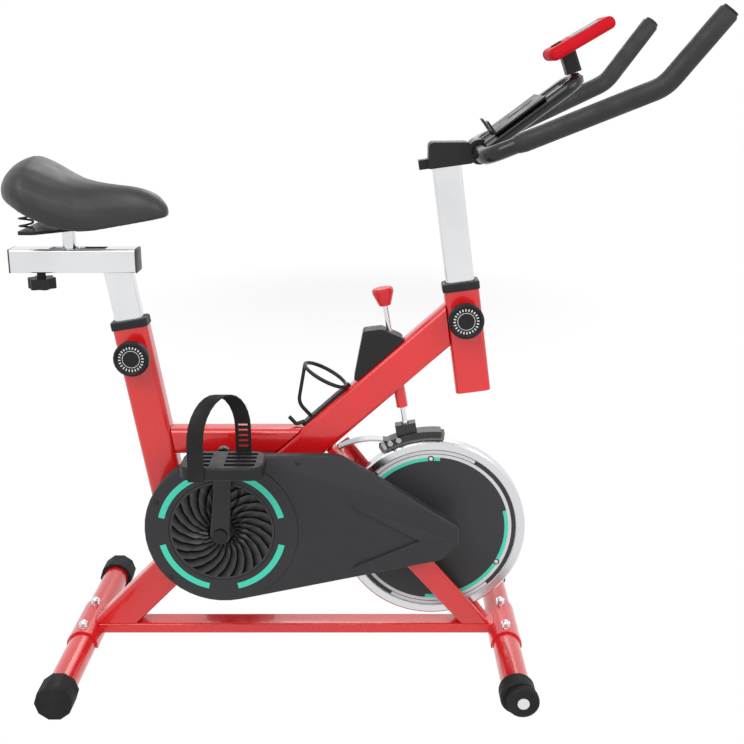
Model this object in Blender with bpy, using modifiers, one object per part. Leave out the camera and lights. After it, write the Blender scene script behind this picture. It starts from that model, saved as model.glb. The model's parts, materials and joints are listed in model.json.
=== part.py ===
"""Indoor spin bike with a belt-driven flywheel, a felt brake, sliding posts and a sprung saddle.

Metres, +Z up, +X towards the handlebar. The drive side with the belt guard faces -Y.
The side view holds the driving points; the lateral places are worked out from the flywheel outwards.
"""

import math

import bmesh
import bpy
from mathutils import Matrix, Vector

# Gaps
WELD_GAP = 0.0003
SLIDE_GAP = 0.0006
TURN_GAP = 0.0005

# Stabilisers and base rail
REAR_FOOT_X = -0.468
FRONT_FOOT_X = 0.293
FOOT_SPAN = 0.500
CAP_APOTHEM = 0.030
CAP_LENGTH = 0.045
CAP_FLATS = 10
STABILISER_RADIUS = 0.024
STABILISER_WALL = 0.002
RAIL_WIDTH = 0.040
RAIL_HEIGHT = 0.020
RAIL_CORNER = 0.004
BRACKET_WALL = 0.004
BRACKET_LENGTH = 0.124
BRACKET_BOLT_SPACING = 0.088
BOLT_RADIUS = 0.008
WHEEL_RADIUS = 0.027
WHEEL_WIDTH = 0.014
WHEEL_FORWARD = 0.006
WHEEL_PIN_RADIUS = 0.005
CAP_RIM = 0.0025
WHEEL_HEAD = 0.0015
BRACKET_WRAP = math.radians(12)
VENT_RADIUS = 0.004

# Frame tubes
TUBE_DEPTH = 0.060
TUBE_WIDTH = 0.040
TUBE_CORNER = 0.009
TUBE_WALL = 0.002
TOP_TUBE_DEPTH = 0.046
TOP_TUBE_Z = 0.401
BRACKET_X = -0.206
BRACKET_Z = 0.262
MAIN_TUBE_ANGLE = math.radians(41.8)
REAR_LEG_ANGLE = math.radians(45.0)
SHELL_RADIUS = 0.021
SHELL_HALF = 0.057
SEAT_TUBE_LEAN = math.radians(9.5)
SEAT_TUBE_TOP = (-0.3583, 0.603)
HEAD_TUBE_LEAN = math.radians(7.8)
HEAD_TUBE_TOP = (0.2022, 0.668)
HEAD_TUBE_LENGTH = 0.178
CUP_LENGTH = 0.012
SHELL_WALL = 0.004

# Posts, collars and pop pins
POST_DEPTH = 0.048
POST_WIDTH = 0.028
POST_CORNER = 0.007
POST_WALL = 0.002
COLLAR_HEIGHT = 0.014
COLLAR_WALL = 0.003
COLLAR_SLEEVE = 0.030
PIN_BELOW_TOP = 0.045
PIN_RADIUS = 0.004
PIN_HOLE_RADIUS = 0.005
PIN_REACH = 0.006
POST_HOLES = 7
SEAT_HOLE_PITCH = 0.020
HEAD_HOLE_PITCH = 0.015
POST_TAIL = 0.022
BOSS_RADIUS = 0.016
BOSS_LENGTH = 0.014
BOSS_TEETH = 12
KNOB_RADIUS = 0.030
KNOB_LENGTH = 0.022
KNOB_BORE = 0.014
KNOB_DISH = 0.0025
PIN_TAPER = 0.0015
BOSS_TOOTH = 0.002
KNOB_RIM = 0.0048
KNOB_NECK_RADIUS = 0.018

# Seat slide and saddle
HOUSING_SIDE = 0.040
HOUSING_WALL = 0.0025
HOUSING_REAR_X = -0.550
HOUSING_LENGTH = 0.208
HOUSING_Z = 0.718
SLIDER_OVERHANG = 0.020
SLIDER_BACK = 0.020
SLIDER_FORWARD = 0.050
STUB_RADIUS = 0.011
STUB_X = -0.454
STUB_TOP_Z = 0.786
SCREW_X = -0.505
SCREW_RADIUS = 0.004
STAR_RADIUS = 0.024
STAR_HEIGHT = 0.018
STAR_LOBES = 6
SADDLE_REAR_X = -0.561
SADDLE_LENGTH = 0.274
SADDLE_HALF_WIDTHS = (
    (0, 0.012), (0.0245, 0.046), (0.0545, 0.066), (0.0955, 0.083), (0.15, 0.096), (0.22, 0.103),
    (0.36, 0.091), (0.55, 0.052), (0.75, 0.032), (0.93, 0.025), (1, 0.010),
)
SADDLE_TOPS = (
    (0, 0.842), (0.0245, 0.856), (0.0545, 0.867), (0.0955, 0.877), (0.15, 0.885), (0.207, 0.889),
    (0.36, 0.872), (0.5, 0.853), (0.65, 0.844), (0.84, 0.837), (0.95, 0.824), (1, 0.806),
)
SADDLE_SKIRTS = (
    (0, 0.828), (0.0545, 0.8235), (0.134, 0.8155), (0.255, 0.7985), (0.361, 0.785), (0.508, 0.772),
    (0.7, 0.777), (0.9, 0.786), (1, 0.790),
)
SADDLE_STATIONS = 20
SADDLE_TUCK = math.radians(115.0)
PAD_THICKNESS = 0.050
PAD_SIDE = 0.010
PAN_THICKNESS = 0.004
SPRING_X = -0.508
SPRING_SPACING = 0.096
SPRING_COIL_RADIUS = 0.0115
SPRING_WIRE_RADIUS = 0.0017
SPRING_CURLS = 5
SPRING_POINTS_PER_CURL = 10
FRAME_PLATE = 0.005
END_WALL = 0.002
HOUSING_CORNER = 0.005
NECK_RADIUS = 0.0075
NECK_LENGTH = 0.010
SECTION_STEPS = 12
WIDEST_SHARE = 0.35
INNER_SHARE = 0.55
PAN_CLEARANCE = 0.003
PAN_FIRST = 3
PAN_LAST = SADDLE_STATIONS - 5
CLAMP_RING = 0.005
STAR_DIP = 0.006
CLAMP_RISE = 0.030
PLATE_CORNER = 0.008

# Handlebar, tray and console
POST_TOP_Z = 0.873
CLAMP_REAR = 0.031
CLAMP_FRONT = 0.042
CLAMP_HEIGHT = 0.043
CLAMP_WIDTH = 0.046
BAR_RADIUS = 0.013
BAR_X = 0.226
BAR_Z = 0.897
BAR_BASE_HALF = 0.125
HORN_BEND = (0.470, 0.205, 1.003)
HORN_TIP = (0.548, 0.222, 1.104)
LOOP_HALF = 0.040
LOOP_RADIUS = 0.011
LOOP_ANGLE = math.radians(36.5)
LOOP_LENGTH = 0.190
TRAY_LENGTH = 0.096
TRAY_WIDTH = 0.120
TRAY_PLATE = 0.003
TRAY_LIP = 0.024
CONSOLE_LENGTH = 0.112
CONSOLE_WIDTH = 0.090
CONSOLE_DEPTH = 0.020
CONSOLE_CORNER = 0.012
CONSOLE_CENTRE = (0.380, 1.072)
CONSOLE_TILT = math.radians(30.0)
STRAP_WIDTH = 0.030
BUTTON_RADIUS = 0.009
BUTTON_TRAVEL = 0.0015
NUB_LENGTH = 0.014
NUB_HEIGHT = 0.016
CLAMP_CORNER = 0.008
RING_WALL = 0.007
BASE_BEND = 0.038
HORN_BEND_RADIUS = 0.060
TRAY_START = 0.034
TAB_WIDTH = 0.030
TRAY_SLOT_WIDTH = 0.012
TRAY_SLOT_LOW = 0.35
TRAY_SLOT_HIGH = 0.85
SCREEN_LENGTH = 0.052
SCREEN_WIDTH = 0.064
SCREEN_DEPTH = 0.0008
SCREEN_FORWARD = 0.014
BUTTON_BACK = -0.034
BUTTON_RISE = 0.0025
BUTTON_SEAT = 0.006
BRACE_DEPTH = 0.024
BRACE_CORNER = 0.004
CLAMP_FOOT_CORNER = 0.003
LOOP_BEND = 0.028
CONSOLE_EDGE = 0.0035
BUTTON_EDGE = 0.001
BRACE_BACK = 0.22

# Flywheel, belt drive and fork
FLYWHEEL_X = 0.160
FLYWHEEL_Z = 0.234
FLYWHEEL_RADIUS = 0.1655
FLYWHEEL_WIDTH = 0.026
RIM_DEPTH = 0.015
WEB_WIDTH = 0.022
HUB_RADIUS = 0.020
HUB_HALF = 0.021
AXLE_RADIUS = 0.0085
FORK_WIDTH = 0.042
FORK_THICKNESS = 0.013
FORK_CORNER = 0.005
FORK_WALL = 0.002
FORK_FOOT_X = 0.240
FORK_ANGLE = math.radians(127.5)
FORK_BEND_Z = 0.205
FORK_TOP_Z = 0.372
FORK_HALF = 0.0525
AXLE_PLATE = 0.006
AXLE_PLATE_RADIUS = 0.022
BRIDGE_DEPTH = 0.030
BRIDGE_HEIGHT = 0.018
DRIVE_PULLEY_RADIUS = 0.088
SMALL_PULLEY_RADIUS = 0.020
BELT_THICKNESS = 0.0016
BELT_WIDTH = 0.012
PULLEY_FLANGE = 0.0015
CRANK_AXLE_RADIUS = 0.0085
CRANK_LENGTH = 0.147
CRANK_LEAN = math.radians(4.0)
CRANK_ROOT_RADIUS = 0.017
CRANK_TIP_RADIUS = 0.012
CRANK_THICKNESS = 0.014
SPINDLE_RADIUS = 0.006
BACK_PLATE = 0.002
BELT_GAP = 0.003
BELT_STEP = math.radians(9.0)
RIM_EDGE = 0.003
AXLE_NUT_RADIUS = 0.013
AXLE_NUT = 0.007
STAY_DEPTH = 0.014
STAY_WIDTH = 0.034
CRANK_GAP = 0.0075
AXLE_HEAD = 0.004
AXLE_HEAD_RADIUS = 0.012
PULLEY_RIM = 0.010
PULLEY_WEB = 0.005
FLYWHEEL_STEPS = 48
AXLE_PLATE_SPREAD = 1.6
STAY_CORNER = 0.003
CRANK_EDGE = 0.002

# Belt guard
GUARD_RADIUS = 0.1335
GUARD_WALL = 0.0025
GUARD_NOSE_X = 0.202
GUARD_SHOULDER_X = -0.004
GUARD_NOSE_TOP_Z = 0.268
GUARD_NOSE_LOW_Z = 0.236
GUARD_CHIN_X = 0.172
GUARD_SOLE_SLOPE = math.radians(12.0)
VANE_DISC_RADIUS = 0.090
VANE_COUNT = 24
VANE_SWEEP = math.radians(38.0)
VANE_HEIGHT = 0.004
VANE_HUB_RADIUS = 0.024
OPENING_STEPS = 48
RIB_HEIGHT = 0.002
GUARD_GAP = 0.001
GUARD_EDGE = 0.004
VANE_SAMPLES = 3
VANE_RINGS = 3
VANE_PLATE = 0.002
VANE_DISH = 0.003
GUARD_CHIN_FILLET = 0.020
GUARD_NOSE_FILLET = 0.012
GUARD_SHOULDER_FILLET = 0.050
GUARD_STEP = math.radians(8.0)
RIB_CORNERS = ((0.014, 0.190), (0.186, 0.247), (0.012, 0.312), (0.026, 0.302), (0.134, 0.245), (0.028, 0.200))
VANE_RIM = 0.004
VANE_LIP = 0.001

# Pedals
PEDAL_LENGTH = 0.134
PEDAL_WIDTH = 0.084
PEDAL_HEIGHT = 0.022
PEDAL_FORWARD = 0.008
PEDAL_SLOTS = 4
SLOT_WIDTH = 0.010
TOE_BAND_WIDTH = 0.026
TOE_BAND_PLATE = 0.0025
TOE_BAND_RISE = 0.118
TOE_BAND_REAR = -0.030
TOE_BAND_FRONT = 0.036
TOE_BAND_SLOTS = 5
PEDAL_GAP = 0.010
SPINDLE_SHORT = 0.012
PEDAL_EDGE = 0.003
PEDAL_CORNER = 0.022
PEDAL_WALL = 0.006
PEDAL_END = 0.014
PEDAL_RAIL = 0.008
TOE_BAND_STRAIGHT = 0.42
TOE_BAND_STEPS = 14
TOE_SLOT_SHARE = 0.6
TOE_SLOT_PITCH = 0.009
TOE_SLOT_HEIGHT = 0.0036

# Brake
ROD_TOP = (0.0722, 0.652)
ROD_LEAN = math.radians(9.6)
ROD_RADIUS = 0.0045
CLIP_HEIGHT = 0.0212
KNOB_TOP_RADIUS = 0.018
KNOB_FOOT_RADIUS = 0.010
TENSION_KNOB_HEIGHT = 0.030
SLEEVE_RADIUS = 0.010
SLEEVE_DROP = 0.034
PAD_START = math.radians(122.0)
PAD_END = math.radians(84.0)
PAD_DEPTH = 0.013
PAD_GAP = 0.0025
ARM_PLATE = 0.003
ARM_WIDTH = 0.030
HOLDER_LIP = 0.008
ROD_FOOT_RADIUS = 0.007
ROD_FOOT = 0.004
HOUSING_HALF = 0.017
CLIP_HALF_LENGTH = 0.018
BOLT_HEAD = 0.004
TENSION_KNOB_GRIP = 0.012
TENSION_KNOB_FLARE = 0.72
WEDGE_CORNERS = ((-0.072, 0), (0.046, 0), (0.044, 0.010), (0.030, 0.040), (0.004, 0.058))
WEDGE_FILLETS = (0.004, 0.004, 0.006, 0.010, 0.006)
HOLDER_INSET = math.radians(2.0)
HOLDER_BOLT_ANGLES = (math.radians(115.0), math.radians(110.0))
HOLDER_BOLT_RADIUS = 0.0048
PAD_STEPS = 10
LEAF_LEVEL = 0.72
LEAF_LAP = math.radians(6.0)
LEAF_BOW = 0.008
LEAF_STEPS = 6
CLIP_SINK = 0.7
CLIP_SHARE = 0.7

# Bottle cage
CAGE_START = 0.211
CAGE_LENGTH = 0.112
CAGE_RING_RADIUS = 0.040
CAGE_WIRE = 0.0035
CAGE_PLATE = 0.004
CAGE_WIDTH = 0.022
CAGE_TILT = math.radians(20)
STRUT_FOOT = 0.2
STRUT_RISE = 0.8
STRUT_BEND = 0.025
HOOK_REACH = 0.014
HOOK_LIFT = 0.006
HOOK_RISE = 0.018
HOOK_BEND = 0.004

ROUND_STEPS = 24
SMALL_STEPS = 12
CORNER_STEPS = 3
Y_AXIS = Vector((0, 1, 0))
Z_AXIS = Vector((0, 0, 1))

for old in list(bpy.data.objects):
    bpy.data.objects.remove(old, do_unlink=True)
parts = bpy.data.collections.new("spin_bike")
bpy.context.scene.collection.children.link(parts)
cutters = bpy.data.collections.new("cutters")
bpy.context.scene.collection.children.link(cutters)


def material(name, colour, roughness, metallic=0.0):
    made = bpy.data.materials.new(name)
    made.use_nodes = True
    shader = made.node_tree.nodes["Principled BSDF"]
    shader.inputs["Base Color"].default_value = (*colour, 1)
    shader.inputs["Roughness"].default_value = roughness
    shader.inputs["Metallic"].default_value = metallic
    made.diffuse_color = (*colour, 1)
    return made


RED = material("red_paint", (0.72, 0.012, 0.012), 0.25)
CHROME = material("chrome", (0.82, 0.83, 0.85), 0.15, 1.0)
STEEL = material("steel", (0.55, 0.56, 0.58), 0.35, 1.0)
BLACK = material("black_plastic", (0.018, 0.018, 0.02), 0.5)
CHARCOAL = material("charcoal_plastic", (0.042, 0.042, 0.048), 0.55)
GLOSS = material("gloss_black", (0.012, 0.012, 0.013), 0.2)
RUBBER = material("rubber", (0.02, 0.02, 0.02), 0.8)
LEATHER = material("leather", (0.025, 0.025, 0.026), 0.55)
FELT = material("felt", (0.25, 0.25, 0.26), 0.95)


# Shared shapes


def side(x, z, y=0.0):
    return Vector((x, y, z))


def lean_axis(lean):
    """Unit vector of a tube that leans back from upright."""
    return Vector((-math.sin(lean), 0, math.cos(lean)))


def tilt_axis(angle):
    """Unit vector in the side view at an angle above +X."""
    return Vector((math.cos(angle), 0, math.sin(angle)))


def place(origin, z_axis, x_axis):
    """Matrix with its local Z along z_axis and its local X near x_axis."""
    z = z_axis.normalized()
    y = z.cross(x_axis).normalized()
    x = y.cross(z)
    turn = Matrix((x, y, z)).transposed().to_4x4()
    return Matrix.Translation(origin) @ turn


def add(name, mesh, finish, origin=None, hidden=False):
    """Link a mesh given in world places; its origin is moved to the given point."""
    thing = bpy.data.objects.new(name, mesh)
    if origin is not None:
        mesh.transform(Matrix.Translation(-origin))
        thing.location = origin
    if finish is not None:
        mesh.materials.append(finish)
    if hidden:
        thing.hide_render = True
        thing.display_type = "WIRE"
        cutters.objects.link(thing)
    else:
        parts.objects.link(thing)
    return thing


def finish_mesh(name, shape):
    bmesh.ops.remove_doubles(shape, verts=shape.verts, dist=1e-7)
    bmesh.ops.recalc_face_normals(shape, faces=shape.faces)
    mesh = bpy.data.meshes.new(name)
    shape.to_mesh(mesh)
    shape.free()
    for face in mesh.polygons:
        face.use_smooth = True
    mesh.set_sharp_from_angle(angle=math.radians(35))
    return mesh


def lofted(name, rings, finish, origin=None, hidden=False, ring_closed=False):
    """Skin between rings of equal count; the ends are capped unless the rings close on themselves."""
    shape = bmesh.new()
    loops = [[shape.verts.new(point) for point in ring] for ring in rings]
    pairs = list(zip(loops, loops[1:]))
    if ring_closed:
        pairs.append((loops[-1], loops[0]))
    for low, high in pairs:
        for i in range(len(low)):
            j = (i + 1) % len(low)
            shape.faces.new((low[i], low[j], high[j], high[i]))
    if not ring_closed:
        shape.faces.new(loops[0])
        shape.faces.new(loops[-1])
    return add(name, finish_mesh(name, shape), finish, origin, hidden)


def arc_points(centre, radius, start, end, count):
    return [
        (
            centre[0] + radius * math.cos(start + (end - start) * i / count),
            centre[1] + radius * math.sin(start + (end - start) * i / count),
        )
        for i in range(count + 1)
    ]


def rounded_rect(width, depth, corner, steps=CORNER_STEPS):
    points = []
    for quarter, (sx, sy) in enumerate(((1, 1), (-1, 1), (-1, -1), (1, -1))):
        centre = (sx * (width / 2 - corner), sy * (depth / 2 - corner))
        start = quarter * math.pi / 2
        points += arc_points(centre, corner, start, start + math.pi / 2, steps)
    return points


def inset_lines(corners, inset):
    """Corners of an anticlockwise outline whose edges have all moved inwards."""
    count = len(corners)
    moved = []
    for i in range(count):
        a, b, c = (Vector(corners[k % count]) for k in (i - 1, i, i + 1))
        first = (b - a).normalized()
        second = (c - b).normalized()
        n1 = Vector((-first.y, first.x))
        n2 = Vector((-second.y, second.x))
        moved.append(b + (n1 + n2) * inset / (1 + n1.dot(n2)))
    return moved


def rounded_outline(corners, radii, inset=0.0, step=math.radians(12)):
    """Anticlockwise outline with a fillet at each corner, moved inwards as a whole."""
    moved = inset_lines(corners, inset)
    count = len(moved)
    points = []
    for i in range(count):
        a, b, c = moved[i - 1], moved[i], moved[(i + 1) % count]
        back = (a - b).normalized()
        ahead = (c - b).normalized()
        half = back.angle(ahead) / 2
        convex = back.x * ahead.y - back.y * ahead.x < 0
        radius = radii[i] - inset if convex else radii[i] + inset
        centre = b + (back + ahead).normalized() * radius / math.sin(half)
        first = b + back * radius / math.tan(half) - centre
        sweep = math.pi - 2 * half
        start = math.atan2(first.y, first.x)
        turn = sweep if convex else -sweep
        points += arc_points(centre, radius, start, start + turn, max(2, round(sweep / step)))
    return points


def prism(name, outline, low, high, where, finish, origin=None, hidden=False):
    """Flat outline in local X and Y pushed along local Z."""
    rings = [[where @ Vector((x, y, z)) for x, y in outline] for z in (low, high)]
    return lofted(name, rings, finish, origin, hidden)


def side_prism(name, outline, y_low, y_high, finish, origin=None, hidden=False):
    """Flat outline in the side view's X and Z pushed along Y."""
    rings = [[Vector((x, y, z)) for x, z in outline] for y in (y_low, y_high)]
    return lofted(name, rings, finish, origin, hidden)


def box(name, low, high, where, finish=None, hidden=True):
    outline = ((low[0], low[1]), (high[0], low[1]), (high[0], high[1]), (low[0], high[1]))
    return prism(name, outline, low[2], high[2], where, finish, None, hidden)


def turned(name, profile, where, finish, steps=ROUND_STEPS, hidden=False):
    """Profile of (radius, height) points, running down the outer side, turned about local Z."""
    mesh = bpy.data.meshes.new(name)
    points = [(radius, 0, height) for radius, height in profile]
    closed = profile[0][0] > 0
    edges = [(i, i + 1) for i in range(len(points) - 1)]
    if closed:
        edges.append((len(points) - 1, 0))
    mesh.from_pydata(points, edges, [])
    thing = add(name, mesh, finish, None, hidden)
    thing.matrix_world = where
    turn = thing.modifiers.new("turn", "SCREW")
    turn.axis = "Z"
    turn.steps = steps
    turn.render_steps = steps
    turn.use_merge_vertices = True
    turn.merge_threshold = 0.00001
    turn.use_smooth_shade = True
    return thing


def round_rod(name, start, end, radius, finish, steps=SMALL_STEPS, hidden=False):
    where = place(start, end - start, Y_AXIS if abs((end - start).normalized().y) < 0.9 else Z_AXIS)
    length = (end - start).length
    profile = ((0, length), (radius, length), (radius, 0), (0, 0))
    return turned(name, profile, where, finish, steps, hidden)


def bent_tube(name, points, radius, finish, resolution=2, path_steps=6, closed=False, hidden=False):
    """Round tube along a smooth route, with filled ends."""
    curve = bpy.data.curves.new(name, "CURVE")
    curve.dimensions = "3D"
    curve.bevel_depth = radius
    curve.bevel_resolution = resolution
    curve.resolution_u = path_steps
    curve.use_fill_caps = not closed
    route = curve.splines.new("POLY")
    route.points.add(len(points) - 1)
    for point, co in zip(route.points, points):
        point.co = (*co, 1)
    route.use_cyclic_u = closed
    drawn = bpy.data.objects.new(name + "_route", curve)
    shape = bmesh.new()
    shape.from_mesh(bpy.data.meshes.new_from_object(drawn))
    bpy.data.objects.remove(drawn)
    bpy.data.curves.remove(curve)
    bmesh.ops.remove_doubles(shape, verts=shape.verts, dist=1e-6)
    return add(name, finish_mesh(name, shape), finish, None, hidden)


def filleted_route(points, radii, steps=5):
    """Straight route with an arc at each inner corner."""
    route = [Vector(points[0])]
    for i, radius in enumerate(radii, 1):
        a, b, c = (Vector(points[k]) for k in (i - 1, i, i + 1))
        back = (a - b).normalized()
        ahead = (c - b).normalized()
        half = back.angle(ahead) / 2
        reach = radius / math.tan(half)
        centre = b + (back + ahead).normalized() * radius / math.sin(half)
        first = b + back * reach - centre
        last = b + ahead * reach - centre
        sweep = first.angle(last)
        for k in range(steps + 1):
            share = k / steps
            mix = (first * math.sin((1 - share) * sweep) + last * math.sin(share * sweep)) / math.sin(sweep)
            route.append(centre + mix)
    route.append(Vector(points[-1]))
    return route


def change(thing, tool, operation):
    edit = thing.modifiers.new(operation.lower(), "BOOLEAN")
    edit.operation = operation
    edit.solver = "EXACT"
    edit.object = tool
    return thing


def fuse(thing, *tools):
    for tool in tools:
        change(thing, tool, "UNION")
    return thing


def cut(thing, *tools):
    for tool in tools:
        change(thing, tool, "DIFFERENCE")
    return thing


def cut_ring(outline, start, along, across, plane):
    """Outline points slid along a tube's axis on to an end plane given by a point and a normal."""
    point, normal = plane
    ring = []
    for u, v in outline:
        base = start + across[0] * u + across[1] * v
        slide = (point - base).dot(normal) / along.dot(normal)
        ring.append(base + along * slide)
    return ring


def square_tube(name, start, along, sizes, planes, finish, origin=None):
    """Hollow rounded tube along a line, its open ends mitred on to two planes.

    sizes holds the width along Y, the depth in the side view, the corner radius and the wall.
    """
    width, depth, corner, wall = sizes
    across = (Y_AXIS, Y_AXIS.cross(along).normalized())
    outer = rounded_rect(width, depth, corner)
    inner = rounded_rect(width - 2 * wall, depth - 2 * wall, corner - wall)
    low, high = planes
    rings = [
        cut_ring(outer, start, along, across, low),
        cut_ring(outer, start, along, across, high),
        cut_ring(inner, start, along, across, high),
        cut_ring(inner, start, along, across, low),
    ]
    return lofted(name, rings, finish, origin, ring_closed=True)


def mirrored_name(name, sign):
    return name + ("_right" if sign < 0 else "_left")


# Stabilisers with levelling caps at the rear and transport wheels at the front

foot_half = FOOT_SPAN / 2
foot_axis_z = CAP_APOTHEM
cap_start = foot_half - CAP_LENGTH
stabiliser_half = foot_half - CAP_LENGTH / 2
cap_socket = stabiliser_half + WELD_GAP - cap_start
wheel_outer = foot_half - WHEEL_HEAD - TURN_GAP
wheel_inner = wheel_outer - WHEEL_WIDTH


def stabiliser(name, x):
    bore = STABILISER_RADIUS - STABILISER_WALL
    profile = (
        (STABILISER_RADIUS, stabiliser_half),
        (STABILISER_RADIUS, -stabiliser_half),
        (bore, -stabiliser_half),
        (bore, stabiliser_half),
    )
    return turned(name, profile, place(side(x, foot_axis_z), Y_AXIS, Z_AXIS), RED)


def end_cap(name, x, sign, length, steps):
    """Cup over a stabiliser's end, standing on its flats."""
    flat = math.cos(math.pi / steps)
    outer = CAP_APOTHEM / flat
    bore = (STABILISER_RADIUS + WELD_GAP) / flat
    profile = (
        (0, length),
        (outer - CAP_RIM, length),
        (outer, length - CAP_RIM),
        (outer, 0),
        (bore, 0),
        (bore, cap_socket),
        (0, cap_socket),
    )
    where = place(side(x, foot_axis_z, sign * cap_start), Y_AXIS * sign, Z_AXIS)
    where = where @ Matrix.Rotation(math.pi / steps, 4, "Z")
    return turned(name, profile, where, RUBBER, steps)


stabiliser("rear_stabiliser", REAR_FOOT_X)
stabiliser("front_stabiliser", FRONT_FOOT_X)
wheel_axis_x = FRONT_FOOT_X + WHEEL_FORWARD
for sign in (-1, 1):
    end_cap(mirrored_name("rear_cap", sign), REAR_FOOT_X, sign, CAP_LENGTH, CAP_FLATS)
    front_length = wheel_inner - TURN_GAP - cap_start
    front_cap = end_cap(mirrored_name("front_cap", sign), FRONT_FOOT_X, sign, front_length, ROUND_STEPS)
    pin_start = cap_start + front_length - CAP_RIM
    pin_where = place(side(wheel_axis_x, foot_axis_z, sign * pin_start), Y_AXIS * sign, Z_AXIS)
    head_low = wheel_outer + TURN_GAP - pin_start
    head_radius = 2 * WHEEL_PIN_RADIUS
    pin_profile = (
        (0, head_low + WHEEL_HEAD),
        (head_radius, head_low + WHEEL_HEAD),
        (head_radius, head_low),
        (WHEEL_PIN_RADIUS, head_low),
        (WHEEL_PIN_RADIUS, 0),
        (0, 0),
    )
    wheel_pin = turned(mirrored_name("wheel_pin", sign), pin_profile, pin_where, None, SMALL_STEPS, True)
    fuse(front_cap, wheel_pin)
    wheel_bore = WHEEL_PIN_RADIUS + TURN_GAP
    wheel_profile = (
        (WHEEL_RADIUS - CAP_RIM, WHEEL_WIDTH),
        (WHEEL_RADIUS, WHEEL_WIDTH - CAP_RIM),
        (WHEEL_RADIUS, CAP_RIM),
        (WHEEL_RADIUS - CAP_RIM, 0),
        (wheel_bore, 0),
        (wheel_bore, WHEEL_WIDTH),
    )
    wheel_where = place(side(wheel_axis_x, foot_axis_z, sign * wheel_inner), Y_AXIS * sign, Z_AXIS)
    turned(mirrored_name("transport_wheel", sign), wheel_profile, wheel_where, RUBBER)


# Base rail with a saddle bracket and its dome nuts over each stabiliser

rail_z = foot_axis_z + RAIL_HEIGHT / 2
rail_top = rail_z + RAIL_HEIGHT / 2
bracket_outer = STABILISER_RADIUS + BRACKET_WALL


def foot_cylinder(name, x, radius):
    reach = BRACKET_LENGTH
    near = side(x, foot_axis_z, -reach)
    far = side(x, foot_axis_z, reach)
    return round_rod(name, near, far, radius, None, ROUND_STEPS, True)


rail_sizes = (RAIL_WIDTH, RAIL_HEIGHT, RAIL_CORNER, TUBE_WALL)
x_axis = Vector((1, 0, 0))
rail_planes = ((side(REAR_FOOT_X, rail_z), x_axis), (side(FRONT_FOOT_X, rail_z), x_axis))
base_rail = square_tube("base_rail", side(0, rail_z), x_axis, rail_sizes, rail_planes, RED)
for label, x in (("rear", REAR_FOOT_X), ("front", FRONT_FOOT_X)):
    centre = (x, foot_axis_z)
    wrap = arc_points(centre, bracket_outer, -BRACKET_WRAP, math.pi + BRACKET_WRAP, SMALL_STEPS)
    inside = arc_points(centre, STABILISER_RADIUS, math.pi + BRACKET_WRAP, -BRACKET_WRAP, SMALL_STEPS)
    bracket = side_prism(label + "_bracket", wrap + inside, -BRACKET_LENGTH / 2, BRACKET_LENGTH / 2,
                         None, None, True)
    fuse(base_rail, bracket)
    for sign in (-1, 1):
        seat = side(x, foot_axis_z + bracket_outer - BRACKET_WALL / 2, sign * BRACKET_BOLT_SPACING / 2)
        nut_height = BOLT_RADIUS + BRACKET_WALL / 2
        dome = [(0, nut_height + BOLT_RADIUS * 0.6)]
        dome += [
            (BOLT_RADIUS * 0.8 * math.sin(a), nut_height + BOLT_RADIUS * 0.6 * math.cos(a))
            for a in (math.radians(30), math.radians(60), math.radians(90))
        ]
        nut_profile = dome + [(BOLT_RADIUS, nut_height), (BOLT_RADIUS, 0), (0, 0)]
        nut = turned(mirrored_name(label + "_nut", sign), nut_profile, place(seat, Z_AXIS, x_axis),
                     None, SMALL_STEPS, True)
        fuse(base_rail, nut)
    cut(base_rail, foot_cylinder(label + "_foot_bore", x, STABILISER_RADIUS + WELD_GAP))
vent = round_rod("rail_vent", side(0, rail_z - RAIL_HEIGHT), side(0, rail_z), VENT_RADIUS, None, 8, True)
cut(base_rail, vent)


# Frame tubes

bottom_bracket_centre = side(BRACKET_X, BRACKET_Z)
main_axis = tilt_axis(MAIN_TUBE_ANGLE)
main_up = tilt_axis(MAIN_TUBE_ANGLE + math.pi / 2)
rear_axis = tilt_axis(REAR_LEG_ANGLE)
rear_up = tilt_axis(REAR_LEG_ANGLE + math.pi / 2)
seat_up = lean_axis(SEAT_TUBE_LEAN)
seat_front = tilt_axis(SEAT_TUBE_LEAN)
head_up = lean_axis(HEAD_TUBE_LEAN)
head_front = tilt_axis(HEAD_TUBE_LEAN)
seat_top = side(*SEAT_TUBE_TOP)
head_top = side(*HEAD_TUBE_TOP)
tube_sizes = (TUBE_WIDTH, TUBE_DEPTH, TUBE_CORNER, TUBE_WALL)
tube_face = TUBE_DEPTH / 2 + WELD_GAP
mitre = (main_axis + rear_axis).normalized()
rod_up = lean_axis(ROD_LEAN)
rod_top = side(*ROD_TOP)
rod_bore = ROD_RADIUS + TURN_GAP
axle_centre = side(FLYWHEEL_X, FLYWHEEL_Z)
holder_low = FLYWHEEL_RADIUS + PAD_GAP + PAD_DEPTH + WELD_GAP
clip_reach = holder_low + CLIP_HEIGHT
rod_from_axle = rod_top - axle_centre
rod_level = rod_from_axle.dot(rod_up)
rod_length = rod_level - math.sqrt(rod_level ** 2 - rod_from_axle.length_squared + clip_reach ** 2)


def shell_bore(name):
    reach = Y_AXIS * TUBE_WIDTH
    return round_rod(name, bottom_bracket_centre - reach, bottom_bracket_centre + reach,
                     SHELL_RADIUS + WELD_GAP, None, ROUND_STEPS, True)


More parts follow.
